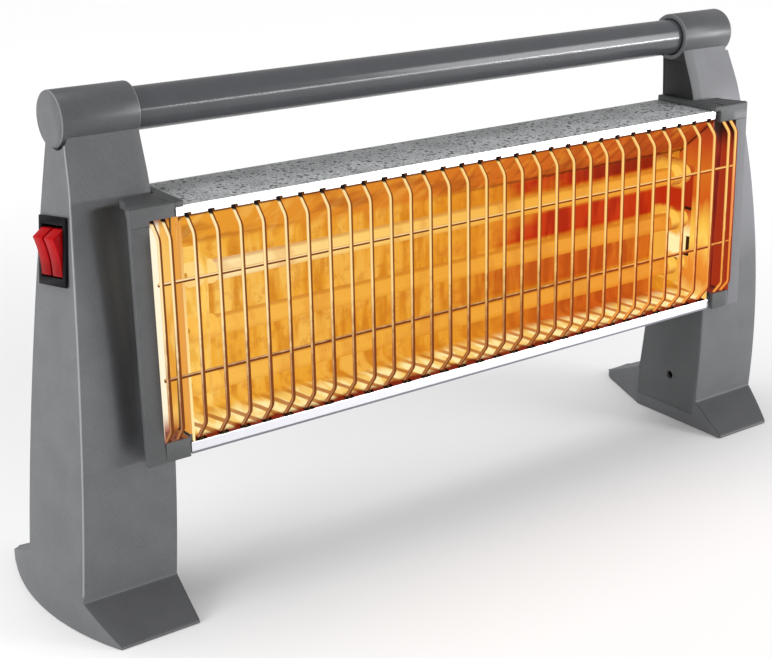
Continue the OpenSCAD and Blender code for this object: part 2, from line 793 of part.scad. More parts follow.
// Leads and bus strips
lead_d = 1.8;
bus_t = 1;
bus_w = 7;
bus_past = 4;
cap_out_x = cap_in_x + cap_l;
bus_x = cap_out_x + pin_out;
lead_x = bus_x + bus_t / 2;
lead_front_y = -tube_y + bus_w / 2 + 0.5 * clear;
tube_middle_z = tube_top_z - tube_pitch;
tube_bottom_z = tube_top_z - 2 * tube_pitch;
lead_spread = 3;
upper_lead_z = lead_hole_z + lead_spread;
lower_lead_z = lead_hole_z - lead_spread;
case_lead_y = -lead_hole_y - lead_spread;
return_lead_y = -lead_hole_y + lead_spread;
lead_pass_d = 4;

module lead_pass(x, z) {
    translate([x, -trough_rear_y - over, z]) rotate([-90, 0, 0])
        cylinder(h = reflector_t + 2 * over, d = lead_pass_d, $fn = small_fn);
}

module reflector() {
    color(bright) difference() {
        union() {
            along_x(-trough_end_x, 2 * trough_end_x) polygon(sheet(trough_line, reflector_t));
            along_x(-case_end_x, case_l) polygon(sheet(
                [[case_y(case_top_z), case_top_z], [case_y(trough_top_z), trough_top_z]], reflector_t));
            along_x(-case_end_x, case_l) polygon(sheet(
                [[case_y(trough_bottom_z), trough_bottom_z], [case_y(case_bottom_z), case_bottom_z]], reflector_t));
        }
        for (x = wire_xs) hook_holes(x);
        lead_pass(lead_x, lead_hole_z);
        lead_pass(-lead_x, lower_lead_z);
        lead_pass(-lead_x, tube_top_z);
    }
}

module right_reflector_end() {
    color(bright) along_x(trough_end_x - reflector_t, reflector_t) polygon(trough_line);
}

// End frames

pocket_top_z = frame_top_z - upper_arm_h;
pocket_bottom_z = case_bottom_z + lower_arm_h;
shelf_rear_y = 27;
shelf_h = 4.4;
shelf_reach = 19;
shelf_end_x = case_end_x + shelf_reach;
shelf_end_y = 32;

// Outline in Y and Z of the frame's depth between two heights, from its front to a rear line
module frame_side(low, high, rear) {
    polygon([[frame_y(low), low], [frame_y(high), high], [rear, high], [rear, low]]);
}

module right_end_frame() {
    color(leg_grey) difference() {
        union() {
            // Upright strip and the two arms
            along_x(pocket_out_x, frame_out_x - pocket_out_x) polygon(sheet(
                [[frame_y(frame_top_z), frame_top_z], [frame_y(case_bottom_z), case_bottom_z]], frame_t));
            along_x(arm_in_x, frame_out_x - arm_in_x) polygon(sheet(
                [[frame_y(frame_top_z), frame_top_z], [frame_y(pocket_top_z), pocket_top_z]], frame_t));
            along_x(arm_in_x, frame_out_x - arm_in_x) polygon(sheet(
                [[frame_y(pocket_bottom_z), pocket_bottom_z], [frame_y(case_bottom_z), case_bottom_z]], frame_t));
            // Pocket: outer wall, rear wall, roof and floor
            along_x(pocket_out_x, pocket_t)
                frame_side(pocket_bottom_z - pocket_t, pocket_top_z + pocket_t, -pocket_rear_y);
            translate([case_end_x + 2 * clear, -pocket_rear_y - pocket_t, pocket_bottom_z - pocket_t])
                cube([pocket_out_x + pocket_t - case_end_x - 2 * clear, pocket_t,
                    pocket_top_z - pocket_bottom_z + 2 * pocket_t]);
            along_x(arm_in_x, pocket_out_x + pocket_t - arm_in_x)
                frame_side(pocket_top_z, pocket_top_z + pocket_t, -pocket_rear_y);
            along_x(arm_in_x, pocket_out_x + pocket_t - arm_in_x)
                frame_side(pocket_bottom_z - pocket_t, pocket_bottom_z, -pocket_rear_y);
            // Shelf that closes the frame back to the leg
            translate([0, 0, frame_top_z - shelf_h]) linear_extrude(height = shelf_h) polygon([
                [arm_in_x, -frame_front_y + frame_t / 2], [frame_out_x, -frame_front_y + frame_t / 2],
                [frame_out_x, -frame_front_y + frame_t], [shelf_end_x, -shelf_end_y],
                [shelf_end_x, -shelf_rear_y], [arm_in_x, -shelf_rear_y]]);
            // Rim that lies on the case's top
            translate([arm_in_x - rim_w - clear, -frame_front_y, case_top_z])
                cube([rim_w, frame_front_y + case_rear_y - case_bend_r, frame_top_z - case_top_z]);
            translate([arm_in_x - rim_w - clear, -frame_front_y, case_top_z])
                cube([rim_w + frame_t, frame_front_y - shelf_rear_y, frame_top_z - case_top_z]);
        }
        hook_holes(wire_span / 2);
        hook_holes(last_wire_x);
    }
}

// Guard

module guard() {
    rail_set = (wire_d + rail_d) / 2 - clear;
    color(bright) {
        for (x = concat(wire_xs, [-last_wire_x, last_wire_x])) bent_wire(wire_path(x), wire_d / 2);
        for (z = [upper_rail_z, lower_rail_z])
            rod([-last_wire_x - wire_d / 2, wire_y(z) + rail_set, z], [last_wire_x + wire_d / 2, wire_y(z) + rail_set, z],
                rail_d / 2);
    }
}

// Heating tubes

module at_tube(z, x) {
    translate([x, -tube_y, z]) rotate([0, 90, 0]) children();
}

module heating_tube(z) {
    half = cap_in_x + cap_seat - clear;
    color(glass) at_tube(z, -half) difference() {
        cylinder(h = 2 * half, d = tube_d, $fn = round_fn);
        translate([0, 0, -over]) cylinder(h = 2 * (half + over), d = tube_d - 2 * tube_wall, $fn = round_fn);
    }
}

module heating_coil(z) {
    color(glow) at_tube(z, -coil_l / 2) cylinder(h = coil_l, d = coil_d, $fn = small_fn);
}

module right_cap(z) {
    color(ceramic) difference() {
        at_tube(z, cap_in_x) cylinder(h = cap_l, d = cap_d, $fn = round_fn);
        at_tube(z, cap_in_x - over) cylinder(h = cap_seat + over, d = tube_d + clear, $fn = round_fn);
        at_tube(z, cap_in_x) cylinder(h = cap_l + over, d = pin_d + clear, $fn = small_fn);
    }
}

module right_pin(z) {
    color(brass) at_tube(z, coil_l / 2) cylinder(h = bus_x - coil_l / 2, d = pin_d, $fn = small_fn);
}

module right_tube_bracket() {
    low = tube_bottom_z - bracket_past;
    high = tube_top_z + bracket_past - clear;
    base_y = -trough_rear_y - bracket_t;
    tab_z = (tube_middle_z + tube_bottom_z - tab_h) / 2;
    color(steel) difference() {
        union() {
            translate([bracket_in_x, base_y, low]) cube([bracket_w, bracket_t, high - low]);
            translate([bracket_in_x + bracket_wall_set, -trough_rear_y - bracket_reach, low])
                cube([bracket_t, bracket_reach, high - low]);
            translate([bracket_in_x + bracket_wall_set, base_y - tab_rise, tab_z])
                cube([bracket_w - bracket_wall_set, tab_rise + bracket_t / 2, tab_h]);
        }
        for (z = [tube_top_z, tube_middle_z, tube_bottom_z])
            at_tube(z, bracket_in_x + bracket_wall_set - over)
                cylinder(h = bracket_t + 2 * over, d = cap_d + clear, $fn = round_fn);
    }
}

// Strip against the pins, between two tube heights
module bus(low, high) {
    color(brass) translate([bus_x, -tube_y - bus_w / 2, low - bus_past]) cube([bus_t, bus_w, high - low + 2 * bus_past]);
}

// Leads, from the strips through the left case end to the switch and the block

tab_tip_x = -switch_depth - tab_l - 0.5 * clear;
leg_lead_reach = 12.5;
leg_lead_step = 4;
leg_lead_x = case_end_x + leg_lead_reach;
leg_lead_far_x = leg_lead_x + leg_lead_step;
supply_step = 5;
supply_x = leg_lead_far_x + supply_step;
supply_y = 6;
supply_bend_drop = 3;
supply_bend_z = switch_z - supply_bend_drop;
block_top_z = block_z + block_h + 0.5 * clear;

module lead_upper() {
    tip = switch_point([tab_tip_x, -tab_side_y, tab_low_z]);
    color(red) on_left() bent_wire([[lead_x, lead_front_y, tube_top_z], [lead_x, case_lead_y, tube_top_z],
        [lead_x, case_lead_y, upper_lead_z], [leg_lead_x, case_lead_y, upper_lead_z],
        [leg_lead_x, tip[1], tip[2]], tip], lead_d / 2);
}

module lead_lower() {
    tip = switch_point([tab_tip_x, tab_side_y, tab_low_z]);
    color(red) on_left() bent_wire([[lead_x, lead_front_y, lower_lead_z], [lead_x, case_lead_y, lower_lead_z],
        [leg_lead_far_x, case_lead_y, lower_lead_z], [leg_lead_far_x, tip[1], tip[2]], tip], lead_d / 2);
}

module lead_return() {
    color(black) bent_wire([[lead_x, lead_front_y, lead_hole_z], [lead_x, return_lead_y, lead_hole_z],
        [-leg_lead_x, return_lead_y, lead_hole_z], [-leg_lead_x, return_lead_y, block_top_z]], lead_d / 2);
}

module lead_supply() {
    tip = switch_point([tab_tip_x, 0, tab_high_z]);
    color(red) on_left() bent_wire([[supply_x, -supply_y, block_top_z], [supply_x, -supply_y, supply_bend_z],
        [leg_lead_far_x, tip[1], tip[2]], tip], lead_d / 2);
}

// Switch

module switch_body() {
    body_w = mouth_w + 2 * switch_wall;
    color(black) on_left() at_switch() {
        difference() {
            union() {
                slab(0, bezel_t, bezel_w, bezel_h);
                slab(-switch_depth, bezel_t / 2, body_w, mouth_h + 2 * switch_wall);
            }
            difference() {
                slab(-switch_depth + switch_floor_t, bezel_t + over, mouth_w, mouth_h);
                slab(-switch_depth, -pivot_depth + pivot_d, web_t, mouth_h + over);
            }
            pivot_line(-body_w, 2 * body_w, pivot_d / 2 + pivot_fit);
            for (p = [[-tab_side_y, tab_low_z], [tab_side_y, tab_low_z], [0, tab_high_z]])
                translate([0, p[0], p[1]]) slab(-switch_depth - over, 2 * tab_root - switch_depth, tab_w + clear / 2,
                    tab_t + clear / 2);
        }
    }
}

// Round bar along the rockers' pivot, from one Y in the switch's frame over a length
module pivot_line(from, length, r) {
    translate([-pivot_depth, from, 0]) rotate([-90, 0, 0]) cylinder(h = length, r = r, $fn = small_fn);
}

module switch_tabs() {
    color(brass) on_left() at_switch() for (p = [[-tab_side_y, tab_low_z], [tab_side_y, tab_low_z], [0, tab_high_z]])
        translate([0, p[0], p[1]]) slab(-switch_depth - tab_l, switch_floor_t - switch_depth, tab_w, tab_t);
}

// Section of a rocker about its pivot, outwards and up, at the stop that the heater is shown in
rocker_tip = [9.5, 6];
rocker_top = [4.8, 10.2];
rocker_back_top = [1.5, 10.4];
rocker_keel = [-3.6, 4];
rocker_back_low = [1.5, -11];
rocker_lip = [4.9, -11];
rocker_hollow_r = 42;

module rocker_section() {
    chord = rocker_lip - rocker_tip;
    middle = (rocker_tip + rocker_lip) / 2;
    rise = sqrt(pow(rocker_hollow_r, 2) - pow(norm(chord) / 2, 2));
    difference() {
        polygon([rocker_tip, rocker_top, rocker_back_top, rocker_keel, [rocker_keel[0], -rocker_keel[1]],
            rocker_back_low, rocker_lip]);
        translate(middle + rise * side(rocker_tip, rocker_lip)) circle(r = rocker_hollow_r, $fn = curve_fn / 2);
    }
}

// One rocker with its two pivot pins; out is +1 for the rear one and -1 for the front one
module rocker(out) {
    near = web_t / 2 + rocker_gap;
    color(red) on_left() at_switch() mirror([0, out < 0 ? 1 : 0, 0]) {
        translate([-pivot_depth, near + rocker_w, 0]) rotate([90, 0, 0]) linear_extrude(height = rocker_w)
            rocker_section();
        pivot_line(near - rocker_gap - web_grip, rocker_w + 2 * rocker_gap + web_grip + pivot_grip, pivot_d / 2);
    }
}

left_leg_shell();
right_leg_shell();
left_leg_cover();
right_leg_cover();
on_left() right_end_frame();  // left_end_frame
right_end_frame();
handle_tube();
case_shell();
left_case_end();
right_case_end();
reflector();
on_left() right_reflector_end();  // left_reflector_end
right_reflector_end();
guard();
heating_tube(tube_top_z);  // tube_top
heating_tube(tube_middle_z);  // tube_middle
heating_tube(tube_bottom_z);  // tube_bottom
heating_coil(tube_top_z);  // coil_top
heating_coil(tube_middle_z);  // coil_middle
heating_coil(tube_bottom_z);  // coil_bottom
on_left() right_cap(tube_top_z);  // left_cap_top
on_left() right_cap(tube_middle_z);  // left_cap_middle
on_left() right_cap(tube_bottom_z);  // left_cap_bottom
right_cap(tube_top_z);  // right_cap_top
right_cap(tube_middle_z);  // right_cap_middle
right_cap(tube_bottom_z);  // right_cap_bottom
on_left() right_pin(tube_top_z);  // left_pin_top
on_left() right_pin(tube_middle_z);  // left_pin_middle
on_left() right_pin(tube_bottom_z);  // left_pin_bottom
right_pin(tube_top_z);  // right_pin_top
right_pin(tube_middle_z);  // right_pin_middle
right_pin(tube_bottom_z);  // right_pin_bottom
on_left() right_tube_bracket();  // left_tube_bracket
right_tube_bracket();
on_left() bus(tube_top_z, tube_top_z);  // left_bus_upper
on_left() bus(tube_bottom_z, tube_middle_z);  // left_bus_lower
bus(tube_bottom_z, tube_top_z);  // right_bus
switch_body();
rocker(-1);  // rocker_front
rocker(1);  // rocker_rear
switch_tabs();
lead_upper();
lead_lower();
lead_return();
lead_supply();
terminal_block();
cord_grommet();
left_cover_screw();
right_cover_screw();
left_leg_screw(leg_screw_upper_z);  // left_leg_screw_upper
left_leg_screw(leg_screw_lower_z);  // left_leg_screw_lower
right_leg_screw(leg_screw_upper_z);  // right_leg_screw_upper
right_leg_screw(leg_screw_lower_z);  // right_leg_screw_lower
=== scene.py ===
import math

import bmesh
import bpy
import numpy as np
from mathutils import Matrix, Vector


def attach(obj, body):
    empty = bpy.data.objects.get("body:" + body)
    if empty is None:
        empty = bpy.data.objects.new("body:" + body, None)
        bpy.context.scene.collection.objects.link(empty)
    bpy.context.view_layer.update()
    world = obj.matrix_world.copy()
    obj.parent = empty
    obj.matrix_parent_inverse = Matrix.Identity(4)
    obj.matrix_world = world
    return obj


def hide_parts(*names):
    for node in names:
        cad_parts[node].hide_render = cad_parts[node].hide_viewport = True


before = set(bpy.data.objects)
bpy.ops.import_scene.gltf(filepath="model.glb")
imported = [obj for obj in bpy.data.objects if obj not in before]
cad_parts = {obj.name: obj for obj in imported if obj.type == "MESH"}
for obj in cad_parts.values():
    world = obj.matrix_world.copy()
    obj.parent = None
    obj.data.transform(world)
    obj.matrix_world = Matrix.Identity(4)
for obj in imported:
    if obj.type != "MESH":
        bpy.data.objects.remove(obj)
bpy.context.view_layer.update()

# Shapes are worked out in millimetres in the CAD's frame and become metres when a mesh is made.
MM = 0.001
MAIN = "heater_frame"
SIDES = ("left", "right")
scene = bpy.context.scene

# Sizes that both shapes and finishes use, in millimetres

# Legs: outer arc (centre, radius at the floor, radius of the bow that narrows it upwards), front line (place,
# radius of its bow, height of its foremost point), inner face (place at the floor, lean)
LEG_X, FLANK_R, FLANK_BOW = 89.5, 146, 1200.0
FRONT_Y, FRONT_BOW, FRONT_Z = -41, 580.0, 66
INNER_X, INNER_LEAN = 181, 5.7 / 237
# How far the front draws back under the socket, and between which heights
UNDERCUT, UNDERCUT_Z = 2.2, (205, 231)
# Top of the toe's slope
TOE_Y, TOE_Z = -38.93, 17
# Socket: centre in Y and Z, radius
SOCKET, SOCKET_R = (-4.0, 237.0), 13
# Case: half its length, bottom and top
CASE_X, CASE_LOW, CASE_TOP = 174.5, 82, 200
# Pocket of the end frames: side walls, floor and roof. The left opening in the front plate, whose rear face lies
# at PLATE_Y, reaches up to POCKET_TOP.
POCKET_X, POCKET_Z = (174.8, 189.4), (91.7, 193.75)
PLATE_Y, POCKET_TOP = -43.2, 196.2
# Heating tubes
TUBE_Y, TUBE_PITCH = -32, 27
HEIGHTS = {"top": 163, "middle": 136, "bottom": 109}
# Guard: from the first of the 31 wires before the trough to the last, and from wire to wire
WIRE_SPAN = 361.5
WIRE_PITCH = WIRE_SPAN / 30


def linked(name, data):
    """A new object in the scene."""
    made = bpy.data.objects.new(name, data)
    scene.collection.objects.link(made)
    return made


# Camera

camera = linked("camera", bpy.data.cameras.new("camera"))
camera.location = (-0.48083, -0.61783, 0.37551)
camera.rotation_euler = (math.radians(70.11), 0, math.radians(-36.3))
camera.data.sensor_width = 36
camera.data.lens = 70.27
camera.data.clip_start = 0.05
scene.camera = camera


# Shader maths


def maths(operation, swapped=False):
    """A method that adds one Math node, with its two inputs in order or swapped."""
    def method(self, other=0.0):
        first, second = (other, self) if swapped else (self, other)
        return self.finish.node("Math", {"operation": operation}, {0: first, 1: second})
    return method


class Signal:
    """One value in a material. Arithmetic on it adds Math nodes."""

    def __init__(self, finish, socket):
        self.finish, self.socket = finish, socket

    __add__, __radd__ = maths("ADD"), maths("ADD", True)
    __sub__, __rsub__ = maths("SUBTRACT"), maths("SUBTRACT", True)
    __mul__, __truediv__, __pow__ = maths("MULTIPLY"), maths("DIVIDE"), maths("POWER")
    least, most = maths("MINIMUM"), maths("MAXIMUM")
    size, sine = maths("ABSOLUTE"), maths("SINE")


class Finish:
    """A node material with one Principled shader."""

    def __init__(self, name, **even):
        self.material = bpy.data.materials.new(name)
        self.material.use_nodes = True
        self.tree = self.material.node_tree
        self.shader = self.tree.nodes["Principled BSDF"]
        for key, value in even.items():
            self.feed(key.replace("_", " "), value)

    def node(self, kind, settings=(), sockets=(), out=0):
        """Adds a node: its settings first, then what fills each socket."""
        made = self.tree.nodes.new("ShaderNode" + kind)
        for key, value in dict(settings).items():
            if key == "stops":
                ramp = made.color_ramp.elements
                while len(ramp) > 1:
                    ramp.remove(ramp[-1])
                ramp[0].position, ramp[0].color = value[0][0], value[0][1]
                for place, colour in value[1:]:
                    ramp.new(place).color = colour
            else:
                setattr(made, key, value)
        for key, value in dict(sockets).items():
            self.fill(made.inputs[key], value)
        return Signal(self, made.outputs[out])

    def fill(self, socket, value):
        """Gives a socket a link, a colour or a number. Colours are three sRGB values or four linear ones."""
        if isinstance(value, Signal):
            self.tree.links.new(value.socket, socket)
        elif socket.type == "RGBA" and len(value) == 3:
            socket.default_value = solid(*value)
        else:
            socket.default_value = value

    def feed(self, name, value):
        """Fills one socket of the shader."""
        self.fill(self.shader.inputs[name], value)

    def base(self, colour):
        self.feed("Base Color", colour)

    def glow(self, colour):
        """Light of its own, as bright as the colour."""
        self.feed("Emission Color", colour)
        self.feed("Emission Strength", 1.0)

    def place(self):
        """Object coordinates in metres."""
        return self.node("TexCoord", out=3)

    def axes(self):
        """Object coordinates in millimetres, as three numbers."""
        split = self.node("SeparateXYZ", (), {0: self.place()}).socket.node
        return [Signal(self, out) * 1000 for out in split.outputs]

    def noise(self, scale, detail=2.0, stretch=(1, 1, 1), rough=0.5):
        """Fractal noise, with scale in cells per metre, from about 0.3 to 0.7."""
        at = self.node("Mapping", (), {0: self.place(), "Scale": stretch})
        return self.node("TexNoise", (), {"Vector": at, "Scale": scale, "Detail": detail, "Roughness": rough})

    def cells(self, scale):
        """Distance to the nearest of scattered points, in cells."""
        return self.node("TexVoronoi", (), {"Vector": self.place(), "Scale": scale})

    def span(self, value, low, high):
        """0 below low, 1 above high and smooth between."""
        return self.node("MapRange", {"interpolation_type": "SMOOTHSTEP"},
                         {0: value, 1: low, 2: high, 3: 0.0, 4: 1.0})

    def fall(self, value, low, high):
        """1 below low, 0 above high and smooth between."""
        return 1 - self.span(value, low, high)

    def ramp(self, value, *stops):
        """A colour ramp from stops of a place and an sRGB colour."""
        return self.node("ValToRGB", {"stops": [(place, solid(*c)) for place, *c in stops]}, {0: value})

    def mix(self, share, first, second):
        return self.node("Mix", {"data_type": "RGBA"}, {0: share, 6: first, 7: second}, out=2)

    def bump(self, height, distance, strength=1.0):
        self.feed("Normal", self.node("Bump", (), {"Height": height, "Distance": distance, "Strength": strength}))


def solid(r, g, b):
    """sRGB values from 0 to 255 as an opaque linear colour."""
    c = np.array([r, g, b]) / 255
    return (*np.where(c <= 0.04045, c / 12.92, ((c + 0.055) / 1.055) ** 2.4), 1.0)


# Meshes


def grid_faces(rows, columns, wrap):
    """Quads between neighbouring rows and columns; wrap joins the last column to the first."""
    i, j = np.meshgrid(np.arange(rows - 1), np.arange(columns if wrap else columns - 1), indexing="ij")
    here, below, k = i * columns, (i + 1) * columns, (j + 1) % columns
    return np.stack([here + j, here + k, below + k, below + j], -1).reshape(-1, 4)


def new_piece(name, points, faces, finish=None, angle=35, lean=None):
    """An object at the origin from points in millimetres. Doubles are merged and faces point outwards. With lean,
    each vertex keeps a number that its material may read."""
    mesh = bpy.data.meshes.new(name)
    points = np.asarray(points, float).reshape(-1, 3) * MM
    mesh.from_pydata(points.tolist(), [], [list(map(int, f)) for f in faces])
    if lean is not None:
        kept = mesh.attributes.new("lean", "FLOAT", "POINT")
        kept.data.foreach_set("value", np.ravel(lean).astype(np.float32))
    tidy = bmesh.new()
    tidy.from_mesh(mesh)
    bmesh.ops.remove_doubles(tidy, verts=tidy.verts, dist=1e-6)
    bmesh.ops.dissolve_degenerate(tidy, edges=tidy.edges, dist=1e-7)
    bmesh.ops.recalc_face_normals(tidy, faces=tidy.faces)
    tidy.to_mesh(mesh)
    tidy.free()
    piece = linked(name, mesh)
    if finish:
        mesh.materials.append(finish.material)
    smooth(piece, angle)
    return piece


def smooth(piece, angle=35):
    piece.data.shade_smooth()
    piece.data.set_sharp_from_angle(angle=math.radians(angle))


def settle(piece, angle=35):
    """Replaces the piece's mesh by the one that its modifiers give."""
    shown = piece.evaluated_get(bpy.context.evaluated_depsgraph_get())
    mesh = bpy.data.meshes.new_from_object(shown)
    old, mesh.name = piece.data, piece.name
    piece.modifiers.clear()
    piece.data = mesh
    bpy.data.meshes.remove(old)
    smooth(piece, angle)
    return piece


def cut(piece, cutter):
    """Takes a closed cutter away from a piece and deletes the cutter."""
    knife = piece.modifiers.new("cut", "BOOLEAN")
    knife.solver, knife.operation, knife.object = "MANIFOLD", "DIFFERENCE", cutter
    settle(piece)
    bpy.data.objects.remove(cutter)
    return piece


def bevel(piece, width, angle=30):
    """Rounds the edges that are sharper than an angle in degrees."""
    edge = piece.modifiers.new("edges", "BEVEL")
    edge.width, edge.segments, edge.limit_method = width * MM, 2, "ANGLE"
    edge.angle_limit, edge.use_clamp_overlap = math.radians(angle), False
    return settle(piece)


def prism(name, outline, x0, x1, finish=None, steps=1):
    """A closed outline in Y and Z pushed from x0 to x1. Both may be arrays with one value for each point."""
    outline = np.asarray(outline, float)
    n = len(outline)
    ts = np.linspace(0, 1, steps + 1)[:, None]
    xs = (1 - ts) * x0 + ts * x1 + np.zeros((1, n))
    ys, zs = (np.broadcast_to(outline[:, k], xs.shape) for k in (0, 1))
    ends = [list(range(n)), list(range(steps * n, (steps + 1) * n))]
    return new_piece(name, np.stack([xs, ys, zs], -1), grid_faces(steps + 1, n, True).tolist() + ends, finish)


def turned(name, profile, centre, finish=None, sides=64, angle=35):
    """Profile of (x, radius) turned about a line along X through centre, given as (y, z)."""
    profile = np.asarray(profile, float)
    a = np.linspace(0, 2 * np.pi, sides, endpoint=False)
    x = np.broadcast_to(profile[:, :1], (len(profile), sides))
    y = centre[0] + profile[:, 1:] * np.sin(a)
    z = centre[1] + profile[:, 1:] * np.cos(a)
    return new_piece(name, np.stack([x, y, z], -1), grid_faces(len(profile), sides, True), finish, angle)


def rounded(corners, radii, steps):
    """A line of points whose inner corners are replaced by arcs of the given radii."""
    corners = np.asarray(corners, float)
    out = [corners[:1]]
    for before, here, after, r in zip(corners[:-2], corners[1:-1], corners[2:], radii):
        a = (before - here) / np.linalg.norm(before - here)
        b = (after - here) / np.linalg.norm(after - here)
        half = math.acos(float(a @ b)) / 2
        centre = here + (a + b) / np.linalg.norm(a + b) * r / math.sin(half)
        ends = [here + v * r / math.tan(half) - centre for v in (a, b)]
        turn = math.pi - 2 * half
        t = np.linspace(0, 1, steps + 1)[:, None]
        out.append(centre + (np.sin((1 - t) * turn) * ends[0] + np.sin(t * turn) * ends[1]) / math.sin(turn))
    return np.concatenate(out + [corners[-1:]])


def swept(name, path, radius, finish, sides=10, side_axis=None):
    """A round bar along one path or several stacked ones; rings lie square to each path, with closed ends. Its
    lean is -1 to 1 across the bar along side_axis."""
    paths = np.atleast_3d(np.asarray(path, float))
    paths = paths if np.asarray(path).ndim == 3 else paths.reshape(1, -1, 3)
    along = np.gradient(paths, axis=1)
    along /= np.linalg.norm(along, axis=-1, keepdims=True)
    up = np.array([1.0, 0, 0]) if abs(along[0, 0, 0]) < 0.9 else np.array([0, 0, 1.0])
    e1 = np.cross(along, up)
    e1 /= np.linalg.norm(e1, axis=-1, keepdims=True)
    e2 = np.cross(along, e1)
    a = np.linspace(0, 2 * np.pi, sides, endpoint=False)[:, None]
    rings = paths[:, :, None] + radius * (np.cos(a) * e1[:, :, None] + np.sin(a) * e2[:, :, None])
    rings = np.concatenate([np.broadcast_to(paths[:, :1, None], rings[:, :1].shape), rings,
                            np.broadcast_to(paths[:, -1:, None], rings[:, :1].shape)], 1)
    one = grid_faces(rings.shape[1], sides, True)
    step = rings.shape[1] * sides
    faces = (one[None] + (np.arange(len(rings)) * step)[:, None, None]).reshape(-1, 4)
    lean = None
    if side_axis is not None:
        lean = (rings - rings.mean(2, keepdims=True)) @ np.asarray(side_axis, float) / radius
    return new_piece(name, rings, faces, finish, 50, lean)


def flip(piece):
    """Turns a finished piece into its mirror image."""
    tidy = bmesh.new()
    tidy.from_mesh(piece.data)
    bmesh.ops.scale(tidy, vec=(-1, 1, 1), verts=tidy.verts)
    bmesh.ops.reverse_faces(tidy, faces=tidy.faces)
    tidy.to_mesh(piece.data)
    tidy.free()
    smooth(piece)
    return piece


def carried(node, finish, edge, body=MAIN):
    """A copy of a CAD node with its triangles merged to faces and its edges rounded."""
    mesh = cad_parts[node].data.copy()
    tidy = bmesh.new()
    tidy.from_mesh(mesh)
    bmesh.ops.remove_doubles(tidy, verts=tidy.verts, dist=2e-6)
    bmesh.ops.dissolve_limit(tidy, angle_limit=math.radians(0.5), verts=tidy.verts, edges=tidy.edges)
    tidy.to_mesh(mesh)
    tidy.free()
    piece = linked(node + "_dressed", mesh)
    mesh.materials.clear()
    mesh.materials.append(finish.material)
    bevel(piece, edge)
    return dress(piece, body, node)


def dress(piece, body, *nodes):
    """The piece rides on a body and stands for CAD nodes, which it hides."""
    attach(piece, body)
    if nodes:
        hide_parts(*nodes)
    return piece


def paint(finish, *nodes):
    """Gives CAD nodes a finish."""
    for n in nodes:
        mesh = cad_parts[n].data
        mesh.materials.clear()
        mesh.materials.append(finish.material)


# Finishes. The limits of each span are places in the frame in millimetres, unless they are shares of a noise.

# Shared colours: near-black bases under painted glow, and the black of painted shade in and round the slots
BLACK = (0, 0, 0, 1)
DARK = (0.03, 0.015, 0.006, 1)
EMBER = (0.05, 0.02, 0.01, 1)
SHADE_BLACK = (0.004, 0.002, 0.002, 1)


def painted_glow_finish(name, roughness):
    """A finish whose look is painted light: it glows and reflects none of the lamps."""
    return Finish(name, Roughness=roughness, Specular_IOR_Level=0.0)


def moulding(name, tone, dark, roughness=0.5, shine=0.5):
    """Fine grained plastic with faint mottling between two tones."""
    f = Finish(name, Roughness=roughness, Specular_IOR_Level=shine)
    grain = f.noise(1300, 2)
    share = f.span(f.noise(70, 4) * 0.45 + grain * 0.55, 0.36, 0.64)
    f.tone = f.mix(share, dark, tone)
    f.base(f.tone)
    f.bump(grain, 0.00006, 0.6)
    return f


def leg_finish():
    """The legs' grey. It has painted shade on the slope of the toe, towards the top of the inner faces and on the
    socket's barrel, and on the left leg also beside the end frame and above it. It has painted highlights on the
    front corner and on the rims of the socket, and painted light on the right leg's front."""
    f = moulding("leg_plastic", (95, 96, 98), (87, 88, 90), 0.55, 0.3)
    x, y, z = f.axes()
    across = x.size()
    off = (y - TOE_Y + (TOE_Z - z) * 1.4).size()
    # Painted shade on the toe's slope
    slope = f.fall(off, 0.2, 0.6) * f.fall(z, 16.6, 17.2)
    inner = f.fall(across + z * INNER_LEAN, INNER_X + 0.05, INNER_X + 0.5)
    left = f.fall(x, -1, 1)
    # Painted shade towards the top of the inner faces
    shadow = inner * f.span(z, 150, 200) * 0.95
    # Distances behind the front face and outside the flank, by the formulas of front_curve and flank_r
    rise = z - FRONT_Z
    behind = y - FRONT_Y - FRONT_BOW + (FRONT_BOW**2 - rise * rise) ** 0.5 - f.span(z, *UNDERCUT_Z) * UNDERCUT
    outside = ((across - LEG_X) ** 2.0 + y * y) ** 0.5 - FLANK_R + FLANK_BOW - (FLANK_BOW**2 - z * z) ** 0.5
    # Painted shade on the left leg's front beside the end frame
    beside = f.fall(across, 190, 200) * f.span(z, 104, 134) * f.fall(z, 197, 202) \
        * f.fall(behind, 8, 9) * left
    y_off, z_off = y - SOCKET[0], z - SOCKET[1]
    from_axis = (y_off * y_off + z_off * z_off) ** 0.5
    round_part = f.fall(from_axis, SOCKET_R + 0.02, SOCKET_R + 0.15) * f.span(z, 223.6, 223.8)
    # Painted shade on the socket's barrel
    barrel = round_part * f.fall(across, 212.4, 212.8)
    # Painted shade on the left leg's front near its top
    top_left = f.span(z, 194, 206) * f.fall(behind, 0.5, 0.9) * left
    dark = (slope * 0.5).most(shadow).most(beside * 0.56).most(barrel * 0.36).most(top_left * 0.13)
    # Painted light on the right leg's front
    upper = f.span(z, 110, 215) * 0.25 + f.span(z, 96, 130) * f.fall(z, 196, 210) * 0.36
    painted_light = f.span(x, 182, 184) * (1 - round_part) * upper
    tone = f.mix(painted_light, f.tone, (132, 132, 138))
    tone = f.mix(dark, tone, (20, 20, 22))
    # Painted highlights on the front corner and on the socket's rims
    corner = f.span(outside, -0.7, -0.35) * f.fall(behind, 0.35, 0.7) \
        * f.span(z, 19, 22) * (1 - round_part)
    painted_rim = f.span(across, 212.7, 212.9) * f.fall(across, 213.3, 213.5) * round_part
    painted_rim = painted_rim.most(f.fall(across, 175.5, 175.8) * round_part)
    f.base(f.mix(corner.most(painted_rim * 0.6) * 0.42, tone, (176, 177, 180)))
    f.feed("Roughness", 0.55 - barrel * 0.2)
    return f


